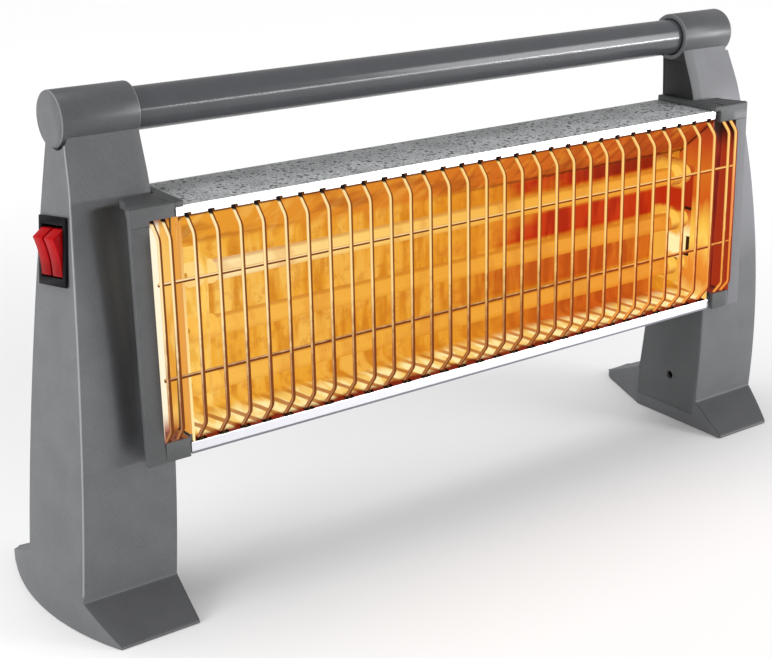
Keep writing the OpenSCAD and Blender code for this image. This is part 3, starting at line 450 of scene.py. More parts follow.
def cover_finish():
    """The leg covers' grey, with painted shade towards the top, where the case stands close."""
    f = moulding("cover_plastic", (84, 85, 86), (79, 80, 81), 0.5, 0.3)
    z = f.axes()[2]
    # Painted shade towards the top
    f.base(f.mix(f.span(z, 150, 200) * 0.95, f.tone, (20, 20, 22)))
    return f


def frame_finish():
    """The end frames' grey, with painted light on the right frame and painted shade on the lip; their pockets take
    painted glow, amber at the left end and dark red at the right.
    """
    f = moulding("frame_plastic", (80, 81, 82), (73, 74, 75), 0.55, 0.3)
    x, y, z = f.axes()
    across = x.size()
    # The left pocket's painted glow reaches 1.6 higher than the right one's
    in_plate = f.fall(y, PLATE_Y - 0.2, PLATE_Y + 0.1)
    top = POCKET_Z[1] + f.fall(x, -1, 1) * (1.6 + in_plate * (POCKET_TOP - POCKET_Z[1] - 1.6))
    pocket = f.span(across, POCKET_X[0] - 0.25, POCKET_X[0]) * f.fall(across, POCKET_X[1] - 0.3, POCKET_X[1]) \
        * f.span(z, POCKET_Z[0] - 0.2, POCKET_Z[0]) * f.fall(z - top, -0.3, 0)
    streak = f.noise(60, 3, (2.2, 1, 0.6))
    amber = f.mix(f.span(streak, 0.38, 0.62), (230, 160, 56), (246, 192, 96))
    # Painted light: a cream strip at the left pocket's outer side
    amber = f.mix(f.fall(x + (streak - 0.5) * 2, -181.0, -179.6), amber, (255, 244, 214))
    # Painted shade: deeper red at the left pocket's floor and under its roof
    amber = f.mix(f.fall(z + streak * 10, 94, 108), amber, (150, 44, 18))
    amber = f.mix(f.span(z + streak * 6, 192, 198), amber, (120, 40, 18))
    red = f.mix(f.span(streak, 0.38, 0.62), (110, 20, 12), (164, 44, 22))
    red = f.mix(f.span(x, 187.6, 188.4), red, (164, 48, 20))
    # Painted shade towards the right pocket's roof
    red = f.mix(f.span(z, 172, 190), red, (26, 8, 8))
    # Painted light on the right frame and painted shade on the lip
    painted_light = f.span(x, 186, 189.6) * f.fall(z, 196, 200) * 0.48
    lip = f.span(z, 201.8, 202.6) * 0.45
    tone = f.mix(lip, f.mix(painted_light, f.tone, (128, 128, 133)), (24, 24, 25))
    f.base(f.mix(pocket, tone, (0.01, 0.005, 0.003, 1)))
    f.glow(f.mix(pocket, BLACK, f.mix(f.span(x, -1, 1), amber, red)))
    return f


leg_plastic = leg_finish()
cover_plastic = cover_finish()
frame_plastic = frame_finish()


def satin():
    """The handle's satin paint."""
    f = Finish("handle_paint", Roughness=0.19, Specular_IOR_Level=0.4)
    f.base(f.mix(f.noise(90, 3), (64, 65, 68), (72, 73, 76)))
    f.bump(f.noise(700, 2), 0.00003, 0.4)
    return f


handle_paint = satin()


def hammered():
    """Hammered grey paint: fine grain, small dark specks, one larger speck on the top near the left end, and
    painted black shade inside the case."""
    f = Finish("hammered_paint", Roughness=0.45)
    x, y, z = f.axes()
    grain = f.noise(900, 3)
    cloud = f.noise(60, 4)
    specks = f.fall(f.cells(310) + grain * 0.4, 0.5, 0.6) * f.span(f.noise(240, 2), 0.42, 0.5)
    across, back = x + 164.2, y + 13.3
    specks = specks.most(f.fall(across * across + back * back, 1.4, 3.4))
    share = f.span(cloud * 0.25 + grain * 0.75, 0.4, 0.62)
    tone = f.mix(share, (118, 120, 121), (176, 178, 179))
    tone = f.mix(specks * 0.9, tone, (22, 23, 25))
    # Painted black shade inside the case
    inside = f.fall(z, 198.6, 199.2) * f.span(z, 82.4, 82.8) * f.fall(y, 0.6, 1.2)
    f.base(f.mix(inside, tone, (0.01, 0.006, 0.005, 1)))
    f.bump(grain - specks * 0.8, 0.00025, 0.5)
    return f


hammered_paint = hammered()


def steel(name, r, g, b):
    """Plain metal with fine lines along X."""
    f = Finish(name, Metallic=1.0)
    fine = f.noise(900, 3, (1, 6, 6))
    f.base(f.mix(fine, (r, g, b), (r + 18, g + 18, b + 18)))
    f.feed("Roughness", fine * 0.2 + 0.25)
    f.bump(fine, 0.00002, 0.5)
    return f


plain_steel = steel("plain_steel", 176, 177, 178)
brass = steel("brass", 200, 168, 96)


def along_trough(x):
    """0 at the trough's left end, 1 at its right end."""
    return (x + 175) / 350


def trough_light():
    """Polished sheet with painted glow from the tubes: amber, paler at the left end, deep red between the tubes
    towards the right end, cream with painted shadows of the wires on the lower wall, painted reflections of
    the wires as dark arcs on the slanted wall, a painted dark line of shade along the upper fold, bare bright
    metal on the two flanges with painted shade on the lower one, and painted black shade round the slots of the
    lower bend."""
    f = painted_glow_finish("polished_sheet", 0.32)
    x, y, z = f.axes()
    streak = f.noise(52, 4, (2.4, 1, 0.45))
    cloud = f.noise(30, 3, (0.8, 1, 1.5))
    along = along_trough(x)
    rear = f.ramp(along, (0.0, 242, 178, 62), (0.3, 232, 156, 40), (0.55, 222, 138, 30),
                  (0.8, 204, 98, 18), (1.0, 222, 140, 34))
    light = f.ramp(along, (0.0, 252, 214, 120), (0.5, 240, 172, 56), (1.0, 240, 158, 40))
    rear = f.mix(f.span(streak * 0.6 + cloud * 0.4, 0.44, 0.62) * 0.6, rear, light)
    rear = f.mix(f.fall(streak, 0.36, 0.52) * 0.5, rear, (190, 104, 20))
    mottle = f.noise(150, 5, rough=0.6)
    rear = f.mix(f.fall(mottle, 0.4, 0.5) * 0.35, rear, (196, 110, 30))
    # Painted shade: deep red between the tubes towards the right end
    gap = f.span(((z - 105) * (2 * math.pi / TUBE_PITCH) - math.pi / 2).sine() * 0.5 + 0.5, 0.25, 0.6)
    right = f.span(x + (cloud - 0.5) * 170, 4, 66) * f.fall(x, 152, 158)
    upper_gap = f.span(z, 134, 140)
    red = f.mix(f.span(streak, 0.4, 0.6), (170, 28, 8), (196, 50, 12))
    red = f.mix(f.span(z, 163, 168) * f.span(x + (cloud - 0.5) * 60, 60, 120) * 0.7, red, (112, 16, 8))
    rear = f.mix(gap * right * (upper_gap * 0.45 + 0.55), rear, red)
    top = f.ramp(along, (0.0, 232, 158, 48), (0.5, 210, 112, 30), (0.78, 198, 88, 26), (1.0, 172, 62, 20))
    top = f.mix(f.span(streak, 0.5, 0.66) * 0.3, top, light)
    top = f.mix(f.fall(cloud, 0.38, 0.5) * 0.5, top, (150, 62, 16))
    # Painted reflections of the wires as dark arcs on the slanted wall
    arcs = ((x + (cloud - 0.5) * 8) * (2 * math.pi / WIRE_PITCH)).sine()
    top = f.mix(f.span(arcs, 0.3, 0.95) * f.span(along, 0.3, 0.6) * f.span(mottle, 0.42, 0.54) * 0.35, top,
                (120, 34, 10))
    wall = f.mix(f.span(z + (cloud - 0.5) * 5, 171, 176), rear, top)
    # Painted shade near the top and along the upper fold
    wall = f.mix(f.span(z, 193.4, 195), wall, (84, 26, 12))
    fold = f.fall((z - 173.5 + (mottle - 0.5) * 3).size(), 0.4, 1.4) * f.span(along, 0.4, 0.75)
    wall = f.mix(fold * 0.75, wall, (96, 20, 8))
    foot = f.mix(f.span(streak, 0.4, 0.6), (246, 200, 104), (255, 236, 168))
    # Painted shadows of the wires on the lower wall, and painted shade along the lower bend
    stripe = ((x + (y + 34) * 0.5) * (2 * math.pi / WIRE_PITCH) + (cloud - 0.5) * 3).sine()
    stripe = f.span(stripe, 0.3, 0.8)
    foot = f.mix(stripe * 0.85, foot, f.mix(along, (168, 92, 30), (196, 96, 22)))
    foot = f.mix(f.fall(z + (streak - 0.5) * 1.2, 88.3, 88.9), foot, (120, 28, 12))
    lit = f.mix(f.fall(z + (cloud - 0.5) * 1.5, 90.0, 91.4), wall, foot)
    flange = f.span(z, 195.2, 195.5).most(f.fall(z, 87.75, 87.95)) * f.fall(y, -43.4, -42.8)
    # One wire stands at the heater's middle, and each has its slot; the black of painted shade reaches a little
    # beyond the hole
    slots = f.span((x * (2 * math.pi / WIRE_PITCH) + math.pi / 2).sine(), 0.1, 0.25)
    slots = slots * f.fall(y, -45.9, -45.6) * f.span(z, 87.7, 87.8) * f.fall(z, 92, 93)
    # Painted shade on the lower flange, darkest at its bottom edge; the upper flange is brightest
    low_metal = f.mix(f.span(z, 82.9, 83.3), (120, 120, 126), (220, 221, 227))
    f.feed("Metallic", flange * (1 - slots))
    f.glow(f.mix(flange.most(slots), lit, BLACK))
    metal = f.mix(f.span(z, 90, 190), low_metal, (250, 250, 252))
    f.base(f.mix(slots, f.mix(flange, DARK, metal), SHADE_BLACK))
    f.bump(streak, 0.0003, 0.3)
    return f


polished_sheet = trough_light()


def end_light(name, *stops):
    """End panel of the trough, with painted glow in its own tones from the lower wall to the top, deeper towards
    the rear, and a dark joint along the slanted wall."""
    f = painted_glow_finish(name, 0.3)
    y, z = f.axes()[1:]
    streak = f.noise(60, 3, (1, 2.5, 0.5))
    tone = f.ramp((z + (streak - 0.5) * 16 - 88) / 108, *stops)
    # Painted glow, deeper towards the rear
    tone = f.mix(f.span(y + (streak - 0.5) * 12, -30, -22) * 0.35, tone, (186, 68, 16))
    joint = f.fall((z - 173 + (y + 20) * 0.925).size(), 1.0, 2.2)
    f.glow(f.mix(joint * 0.85, tone, (52, 12, 6)))
    f.base(f.mix(streak, DARK, EMBER))
    return f


left_end_light = end_light("left_end_light", (0.0, 255, 236, 170), (0.5, 250, 214, 140), (1.0, 224, 150, 60))
right_end_light = end_light("right_end_light", (0.0, 254, 214, 116), (0.1, 228, 134, 46),
                            (0.2, 236, 144, 50), (0.33, 254, 208, 94), (0.42, 246, 186, 70),
                            (0.55, 210, 92, 26), (0.7, 212, 110, 30), (0.85, 188, 70, 26), (1.0, 150, 50, 24))


def wire_chrome(name, keen):
    """Bright plated wire with painted glow; before the lit trough it has a cream painted highlight along its left
    side and red brown painted shade along its right, more so low down. Its ends in the slots are painted black
    shade."""
    f = painted_glow_finish(name, 0.3)
    x, _, z = f.axes()
    side = f.node("Attribute", {"attribute_name": "lean"}, out=2)
    # Noise that frays the edge of the painted shade low down
    shade_edge_noise = f.noise(220, 2)
    low = f.fall(z + (shade_edge_noise - 0.5) * 40, 100, 152)
    along = along_trough(x)
    painted_light = f.ramp(along, (0.0, 255, 232, 176), (0.5, 250, 212, 130), (1.0, 255, 206, 120))
    painted_light = f.mix(f.span(x, 181, 184) * f.fall(z, 150, 180) * 0.7, painted_light, (240, 112, 76))
    deep = f.ramp(along, (0.0, 104, 50, 16), (0.5, 112, 46, 12), (1.0, 140, 34, 8))
    # Painted shade on the right side of each wire, wider low down; painted highlight on the left
    edge = f.span(side + low * 0.5, 0.05 - keen, 0.4 - keen)
    glow = f.mix(edge, painted_light, deep)
    glow = f.mix(f.fall(side, -0.9, -0.6) * 0.6, glow, (206, 134, 52))
    glow = f.mix(low * (1 - edge) * 0.85, glow, f.mix(f.span(x, 30, 110), (150, 68, 22), (240, 146, 52)))
    # Painted black shade on the ends in the slots
    ends = f.span(z, 193.6, 194.6).most(f.fall(z, 88, 88.8))
    f.glow(f.mix(ends, glow, SHADE_BLACK))
    f.base(f.mix(ends, (0.05, 0.02, 0.008, 1), (0.01, 0.008, 0.008, 1)))
    return f


guard_chrome = wire_chrome("guard_chrome", 0.0)
rail_chrome = wire_chrome("rail_chrome", 0.5)


def painted_glow_glass():
    """Clear glass with painted glow of the coil: cream at the left end, amber at the right, brightest for the top
    tube, and with painted shade along its upper and lower edge."""
    f = Finish("quartz_glass", Roughness=0.2, Alpha=0.7, Specular_IOR_Level=0.0)
    x, _, z = f.axes()
    streak = f.noise(44, 3, (1.8, 1, 1))
    along = along_trough(x)
    high = f.ramp(along, (0.0, 255, 238, 190), (0.3, 250, 206, 110), (0.6, 240, 172, 60), (1.0, 238, 150, 40))
    low = f.ramp(along, (0.0, 244, 186, 80), (0.4, 234, 162, 48), (1.0, 232, 140, 38))
    tone = f.mix(f.span(z, 146, 150), low, high)
    tone = f.mix(f.fall(streak, 0.36, 0.5) * 0.35, tone, (206, 120, 36))
    # Painted shade along each tube's upper and lower edge
    off = [(z - height).size() for height in HEIGHTS.values()]
    painted_rim = f.span(off[0].least(off[1]).least(off[2]), 3.9, 4.9)
    f.glow(f.mix(painted_rim * 0.6, tone, (176, 84, 24)))
    f.base(f.mix(streak, DARK, EMBER))
    return f


quartz_glass = painted_glow_glass()


def glowing():
    """The coils' wire at its working heat."""
    f = Finish("coil_wire", Roughness=0.4)
    f.base(f.mix(f.noise(200), DARK, (0.08, 0.03, 0.01, 1)))
    f.glow(f.mix(f.noise(60), (250, 190, 90), (255, 216, 120)))
    return f


coil_wire = glowing()


def painted_glow_ceramic():
    """The caps with painted glow from the tubes: painted light above, painted shade in brown below, and nearly
    cream at the upper left.
    """
    f = painted_glow_finish("ceramic", 0.6)
    x, _, z = f.axes()
    cloud = f.noise(150, 3)
    # Minus one below each tube's axis to one above it
    tilt = ((z - HEIGHTS["bottom"]) * (2 * math.pi / TUBE_PITCH)).sine()
    # Painted light on the caps' upper sides and painted shade below
    tone = f.mix(f.span(tilt + (cloud - 0.5) * 0.6, -0.95, 0.3), (186, 100, 30), (248, 192, 78))
    left = f.fall(x, -1, 1)
    tone = f.mix(left * 0.7, tone, (242, 182, 78))
    f.glow(f.mix(left * f.span(z, 149, 150) * 0.6, tone, (255, 226, 152)))
    f.base(f.mix(cloud, (0.1, 0.06, 0.02, 1), (0.07, 0.04, 0.015, 1)))
    return f


ceramic = painted_glow_ceramic()


def left_bracket():
    """The bracket at the left end, with even painted glow from the tubes."""
    f = Finish("bracket_steel", Roughness=0.4, Metallic=0.6)
    cloud = f.noise(150, 3)
    f.base(f.mix(cloud, (0.06, 0.03, 0.01, 1), (0.042, 0.021, 0.007, 1)))
    f.glow(f.mix(f.span(cloud, 0.38, 0.62), (244, 196, 96), (232, 174, 70)))
    return f


bracket_steel = left_bracket()


def right_bracket():
    """The bracket at the right end, with painted glow: red between the upper caps, with painted shade at the top;
    its front part is nearly white with painted light between the lower ones, with a dark line."""
    f = Finish("right_bracket", Metallic=0.6, Roughness=0.4)
    y, z = f.axes()[1:]
    cloud = f.noise(90, 3)
    tone = f.mix(f.span((z + (cloud - 0.5) * 8 - 149.5).size(), 5, 9), (182, 40, 12), (236, 168, 60))
    outer = f.fall(y + (cloud - 0.5) * 4, -30, -28)
    bright = f.fall((z - 122 + (cloud - 0.5) * 8).size(), 5, 9) * outer
    tone = f.mix(bright, tone, (255, 240, 176))
    line = f.fall((z - 113.6).size(), 0.4, 0.9) * outer * f.span(y, -38, -37.5)
    tone = f.mix(line * 0.8, tone, (60, 18, 8))
    # Painted shade at the top
    tone = f.mix(f.span(z + (cloud - 0.5) * 6, 168, 174), tone, (160, 60, 18))
    f.glow(tone)
    f.base(f.mix(cloud, (0.06, 0.03, 0.01, 1), (0.03, 0.015, 0.005, 1)))
    return f


right_bracket_steel = right_bracket()


def right_strip():
    """The strip that joins the pins at the right end, with painted glow: nearly white between the lower caps and
    red between the upper ones, with a black hook and a black dash."""
    f = painted_glow_finish("right_strip", 0.5)
    y, z = f.axes()[1:]
    cloud = f.noise(90, 3)
    tone = f.ramp((z + (cloud - 0.5) * 6 - 100) / 70, (0.0, 236, 150, 56), (0.17, 240, 160, 60),
                  (0.21, 255, 236, 170), (0.38, 255, 236, 170), (0.46, 236, 160, 70),
                  (0.56, 210, 106, 38), (0.61, 164, 38, 14), (0.86, 172, 44, 16), (1.0, 204, 104, 38))
    hook = f.fall(y, -33.9, -33.6) * f.fall((z - 118.8).size(), 5.7, 6.1)
    hook = hook.most(f.fall(y, -30.6, -30.2) * f.fall((z - 113.6).size(), 0.8, 1.1))
    dash = f.fall(y, -29.6, -29.2) * f.fall((z - 141.5).size(), 0.7, 1.1)
    f.glow(f.mix(hook.most(dash), tone, (0.015, 0.005, 0.003, 1)))
    f.base(f.mix(cloud, DARK, EMBER))
    return f


right_strip_brass = right_strip()


def case_end(name, glow):
    """Grey paint outside; the front edge inside the end frame takes painted glow."""
    f = moulding(name, (104, 106, 107), (88, 90, 91), 0.45)
    y, z = f.axes()[1:]
    front = f.fall(y, -39, -38.4) * f.span(z, POCKET_Z[0] - 0.2, POCKET_Z[0]) * f.fall(z, 195, 195.2)
    f.base(f.mix(front, f.tone, DARK))
    f.glow(f.mix(front, BLACK, glow))
    return f


left_case_paint = case_end("left_case_paint", (222, 150, 58))
right_case_paint = case_end("right_case_paint", (104, 24, 14))
plain_ceramic = moulding("plain_ceramic", (214, 208, 196), (196, 190, 178), 0.7)

black_plastic = moulding("black_plastic", (17, 15, 18), (10, 9, 11), 0.4, 0.06)
black_rubber = moulding("black_rubber", (40, 40, 41), (30, 30, 31), 0.65, 0.3)
lead_sleeve = moulding("lead_sleeve", (150, 60, 44), (130, 46, 34), 0.6)


def red_gloss():
    """Red plastic, with painted shade that makes it deeper between the rockers and towards the lower ends."""
    f = Finish("red_plastic", Roughness=0.34, Specular_IOR_Level=0.06)
    z = f.axes()[2]
    cloud = f.noise(200, 2)
    # Painted shade towards the lower ends
    low = f.fall(z + (cloud - 0.5) * 6, 168, 186)
    f.base(f.mix(low * 0.7, f.mix(cloud, (140, 3, 8), (156, 5, 12)), (92, 2, 5)))
    f.bump(cloud, 0.00004, 0.4)
    return f


red_plastic = red_gloss()

# Legs

HEEL = np.array([211.86, 44.5])
HEEL_R = 16.0
ROOT_Y = 9.15
REAR_Y, REAR_BOW, REAR_Z = -0.5, 1050.0, 168
# Foot: half its depth, height of its upright rim, height of the heel
FOOT_Y, RIM_Z, HEEL_Z = 60.5, 1.6, 26


def ease(a, b, v):
    """0 below a, 1 above b and smooth between."""
    t = np.clip((v - a) / (b - a), 0, 1)
    return t * t * (3 - 2 * t)


def inner_x(z):
    """Inner face: it leans inwards as it rises."""
    return INNER_X - INNER_LEAN * np.asarray(z)


def flank_r(z):
    """Radius of the outer arc, less the bow's sagitta."""
    return FLANK_R - (FLANK_BOW - np.sqrt(FLANK_BOW**2 - np.asarray(z) ** 2))


def front_curve(z):
    """Front edge of the leg seen from the side; near the top it draws back under the socket."""
    z = np.asarray(z, float)
    return FRONT_Y + FRONT_BOW - np.sqrt(FRONT_BOW**2 - (z - FRONT_Z) ** 2) + UNDERCUT * ease(*UNDERCUT_Z, z)


def rear_curve(z):
    return REAR_Y + REAR_BOW - np.sqrt(REAR_BOW**2 - (np.asarray(z, float) - REAR_Z) ** 2)


def front_y(z):
    """Front curve with the toe's slope."""
    return np.where(z < TOE_Z, np.interp(z, [0, RIM_Z, TOE_Z], [-FOOT_Y, -FOOT_Y, TOE_Y]), front_curve(z))


def rear_y(z):
    """Rear curve with the heel's slope."""
    return np.where(z < HEEL_Z, np.interp(z, [0, RIM_Z, HEEL_Z], [FOOT_Y, FOOT_Y, ROOT_Y]), rear_curve(z))


VALLEY_X, VALLEY_Z, VALLEY_DEPTH = (181, 195, 209), (83, 96, 198, 200), 6.5
WALL = 3


def valley(x, z):
    """Depth of the shallow valley in the front face: a soft V across, with ramps at both ends."""
    left, middle, right = VALLEY_X
    across = np.minimum(ease(left, middle, x), 1 - ease(middle, right, x))
    return VALLEY_DEPTH * across * ease(*VALLEY_Z[:2], z) * (1 - ease(*VALLEY_Z[2:], z))


def on_heel(a):
    """Points of the round heel at angles a."""
    return HEEL + HEEL_R * np.stack([np.cos(a), np.sin(a)], -1)


def between(a, b, n):
    """n points from a towards b for every row, without b."""
    t = np.linspace(0, 1, n, endpoint=False)[None, :, None]
    return a[:, None] * (1 - t) + b[:, None] * t


def arc_rows(centre, radius, a, b, n):
    """n points for every row on an arc from angle a towards angle b, without b."""
    t = a[:, None] + (b - a)[:, None] * np.linspace(0, 1, n, endpoint=False)[None]
    r = np.broadcast_to(np.asarray(radius, float), a.shape)[:, None]
    return np.stack([centre[0] + r * np.cos(t), centre[1] + r * np.sin(t)], -1)


def leg_body():
    """Rings of the leg's outline stacked by height: front edge with the valley, outer arc, round heel cut off by
    the heel's slope, slanted side of the foot, inner face."""
    heights = [RIM_Z, TOE_Z, HEEL_Z, 82, 96, 196, 202, SOCKET[1]]
    counts = [13, 7, 15, 12, 26, 9, 18]
    z = np.unique(np.concatenate([[0, 0.8], *[np.linspace(*ends, n) for *ends, n in
                                              zip(heights[:-1], heights[1:], counts)]]))
    one = np.ones_like(z)
    r, yf, yr, xi = flank_r(z), front_y(z), rear_y(z), inner_x(z)
    tangent = math.atan2(HEEL[1], HEEL[0] - LEG_X)
    root = np.stack([xi, np.minimum(ROOT_Y, yr)], -1)
    reach = np.linalg.norm([inner_x(0) - HEEL[0], ROOT_Y - HEEL[1]])
    touch_a = math.atan2(ROOT_Y - HEEL[1], inner_x(0) - HEEL[0]) % (2 * math.pi) - math.acos(HEEL_R / reach)
    touch = on_heel(touch_a)
    corner_in = np.stack([xi, yf], -1)
    corner_out = np.stack([LEG_X + np.sqrt(r**2 - yf**2), yf], -1)
    # Front, with fixed columns on the valley's lines
    left, middle, right = VALLEY_X
    fixed = [x * one for x in ((left + middle) / 2, middle, (middle + right) / 2, right)]
    lines = np.stack([xi, np.maximum(left * one, xi + 0.3), *fixed, corner_out[:, 0]], -1)
    xs = np.concatenate([between(lines[:, k:k + 1], lines[:, k + 1:k + 2], n)[:, :, 0]
                         for k, n in enumerate((1, 6, 6, 6, 6, 8))], 1)
    front = np.stack([xs, yf[:, None] + valley(xs, z[:, None])], -1)
    end_y = np.minimum(yr, r * math.sin(tangent))
    flank = arc_rows((LEG_X, 0), r, np.arcsin(yf / r), np.arcsin(end_y / r), 30)
    # Round heel, cut off by the slope
    start = on_heel(tangent)
    up = np.arcsin(np.clip((yr - HEEL[1]) / HEEL_R, -1, 1))
    a1 = np.maximum(up, tangent)
    a2 = np.minimum(math.pi - up, touch_a)
    beyond = yr > start[1]
    late = yr > touch[1]
    flank_end = np.stack([LEG_X + np.sqrt(r**2 - end_y**2), end_y], -1)
    arc1 = arc_rows(HEEL, HEEL_R, tangent * one, np.where(beyond, a1, tangent), 8)
    arc1 = np.where(beyond[:, None, None], arc1, flank_end[:, None])
    slant_x = np.interp(yr, [ROOT_Y, touch[1]], [inner_x(0), touch[0]])
    p1 = np.where(beyond[:, None], on_heel(a1), flank_end)
    p2 = np.where(late[:, None], on_heel(a2), np.stack([np.maximum(slant_x, xi), yr], -1))
    ridge = between(p1, p2, 14)
    arc2 = arc_rows(HEEL, HEEL_R, np.where(late, a2, touch_a), touch_a * one, 8)
    arc2 = np.where(late[:, None, None], arc2, p2[:, None])
    slant = between(np.where(late[:, None], touch, p2), root, 10)
    inner = between(root, corner_in, 14)
    ring = np.concatenate([front, flank, arc1, ridge, arc2, slant, inner], 1)
    rows = np.concatenate([ring, np.broadcast_to(z[:, None, None], (*ring.shape[:2], 1))], -1)
    # The two end faces are fans round a point
    fan = np.array([203.0, -6, 0])
    low = np.broadcast_to(fan, rows[:1].shape)
    high = np.broadcast_to(fan + [0, 0, z[-1]], rows[:1].shape)
    rows = np.concatenate([low, rows, high])
    return new_piece("leg_body", rows, grid_faces(len(rows), ring.shape[1], True), leg_plastic)


def side_outline(front_in, rear_in, low, high):
    """Closed outline in Y and Z between two heights, drawn in from the leg's front and rear curves."""
    z = np.linspace(low, high, 40)
    front = np.stack([front_curve(z) + front_in, z], -1)
    rear = np.stack([rear_curve(z) - rear_in, z], -1)
    return np.concatenate([front, rear[::-1]])


def leg_hollow():
    """The leg's cavity: its side outline pushed out to WALL inside the outer face. In front the wall is thicker,
    for the valley."""
    outline = side_outline(WALL + VALLEY_DEPTH, WALL, 9.5, 222.1)
    far = LEG_X + np.sqrt((flank_r(outline[:, 1]) - WALL) ** 2 - outline[:, 0] ** 2)
    near = inner_x(outline[:, 1]) - 1
    return prism("hollow", outline, near, far)


def box(name, low, high):
    """A closed box between two corners, for cuts."""
    (x0, y0, z0), (x1, y1, z1) = low, high
    return prism(name, [(y0, z0), (y1, z0), (y1, z1), (y0, z1)], x0, x1)


# Room for the end frame's pocket in the leg and its cover
NOTCH = ((173, -61, 89.4), (191.1, -35.8, 195.9))
# Bore for the handle: its radius, where it ends, and the wider mouth's radius, depth and start
BORE_R, BORE_END = 10.15, 200.3
MOUTH_R, MOUTH_END, MOUTH_X = 10.7, 176.4, 175.0
# The switch's place on the leg before it is mirrored: turned to lie on the outer face
SWITCH_AT = Matrix.Translation((220.82, -15.8, 181)) @ Matrix.Rotation(math.radians(-6.86), 4, "Z") @ \
    Matrix.Rotation(math.radians(-8.675), 4, "Y") @ Matrix.Rotation(math.radians(-7), 4, "X")
# The cord's outlet low on the rear of the same leg; its cutter runs along Y
OUTLET_AT = Matrix.Translation((203, 0, 42)) @ Matrix.Rotation(math.pi / 2, 4, "Z")


def placed(piece, matrix):
    """Moves a piece's mesh by a matrix in millimetres."""
    place = matrix.copy()
    place.translation *= MM
    piece.data.transform(place)
    return piece


def leg(side):
    """A leg with its hollow, seats and openings, and its socket as a piece of its own. The left leg, with the
    switch and the cord's outlet, is made as a right one and mirrored."""
    piece = leg_body()
    bevel(piece, 0.6, 32)
    groove_at = (SOCKET[0] - 6.1, SOCKET[1] - 5.7)
    cut(piece, turned("crescent", [(210.6, 0), (210.6, 7), (222, 7), (222, 0)], groove_at))
    cut(piece, leg_hollow())
    seat = side_outline(1.5, 1.5, 8, 223.6)
    cut(piece, prism("recess", seat, inner_x(seat[:, 1]) - 1, inner_x(seat[:, 1]) + 2.5))
    cut(piece, box("notch", *NOTCH))
    cut(piece, turned("bore", [(170, 0), (170, MOUTH_R), (MOUTH_END, MOUTH_R), (MOUTH_END, BORE_R),
                               (BORE_END, BORE_R), (BORE_END, 0)], SOCKET))
    if side == "left":
        cut(piece, placed(box("opening", (-13.1, -10.2, -13.1), (2.6, 10.2, 13.1)), SWITCH_AT))
        steps = [(-2, 0), (-2, 5.6), (6, 5.6), (6, 7.1), (30, 7.1), (30, 0)]
        cut(piece, placed(turned("outlet", steps, (0, 0), None, 48), OUTLET_AT))
        flip(piece)
    piece.name = side + "_leg"
    dress(piece, MAIN, side + "_leg_shell")
    # The socket: bore, rounded mouth, barrel and a disc that swells a little
    line = [(BORE_END, 0), (BORE_END, BORE_R), (MOUTH_END, BORE_R), (MOUTH_END, MOUTH_R), (MOUTH_X, MOUTH_R),
            (174.9, 12.3), (175.2, 12.8), (175.8, SOCKET_R), (212.7, SOCKET_R), (213.5, 12.7), (213.95, 12.1),
            (214.1, 11.2), (214.35, 7), (214.4, 0)]
    cap = turned(side + "_socket", line, SOCKET, leg_plastic, 96)
    if side == "left":
        flip(cap)
    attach(cap, MAIN)


def cover(side):
    """The plate that closes a leg on its inner face, with the deep hole of its screw."""
    outline = side_outline(1.56, 1.56, 8.06, 223.54)
    plate = prism(side + "_cover", outline, inner_x(outline[:, 1]), inner_x(outline[:, 1]) + 2.4, cover_plastic)
    bevel(plate, 0.15, 40)
    cut(plate, box("notch", *NOTCH))
    cut(plate, turned("hole", [(170, 0), (170, 2.5), (190, 2.5), (190, 0)], (-17, 28.4), None, 40))
    if side == "left":
        flip(plate)
    dress(plate, MAIN, side + "_leg_cover")


for side in SIDES:
    leg(side)
    cover(side)

# Handle

tube_line = [(-200, 8.8), (-200, 9.8), (-199.8, 10), *[(x, 10) for x in np.linspace(-190, 190, 20)],
             (199.8, 10), (200, 9.8), (200, 8.8), (-200, 8.8)]
tube = turned("handle", tube_line, SOCKET, handle_paint, 96)
dress(tube, MAIN, "handle_tube")

# Case

CASE_LINE = rounded([(-43.0, CASE_TOP), (2, CASE_TOP), (2, CASE_LOW), (-47.55, CASE_LOW)], [3, 3], 8)


def sheet_outline(line, t):
    """Outline of a sheet of thickness t on the right-hand side of a line."""
    d = np.gradient(line, axis=0)
    d /= np.linalg.norm(d, axis=1, keepdims=True)
    return np.concatenate([line, (line + t * np.stack([d[:, 1], -d[:, 0]], -1))[::-1]])


case = prism("case", sheet_outline(CASE_LINE, 1.0), -CASE_X, CASE_X, hammered_paint, 24)
bevel(case, 0.25, 40)
dress(case, MAIN, "case_shell")

# Reflector

TROUGH = np.array([(-43.915, CASE_TOP), (-44.096, 195.3), (-20, 173), (-20, 92), (-48.218, 88),
                   (-48.448, CASE_LOW)])
WIRES = WIRE_SPAN * (np.arange(31) / 30 - 0.5)
# Half the length of the flanges and of the walls between them, half a slot's width, the sheet's thickness
FLANGE_X, TROUGH_X, SLOT, SHEET = 174.4, 173.2, 1.8, 0.8
# How far the slots of the two bends reach along the line, before and after the bend
UPPER_SLOT, LOWER_SLOT = (-1.2, 2.6), (-2.4, 0.2)


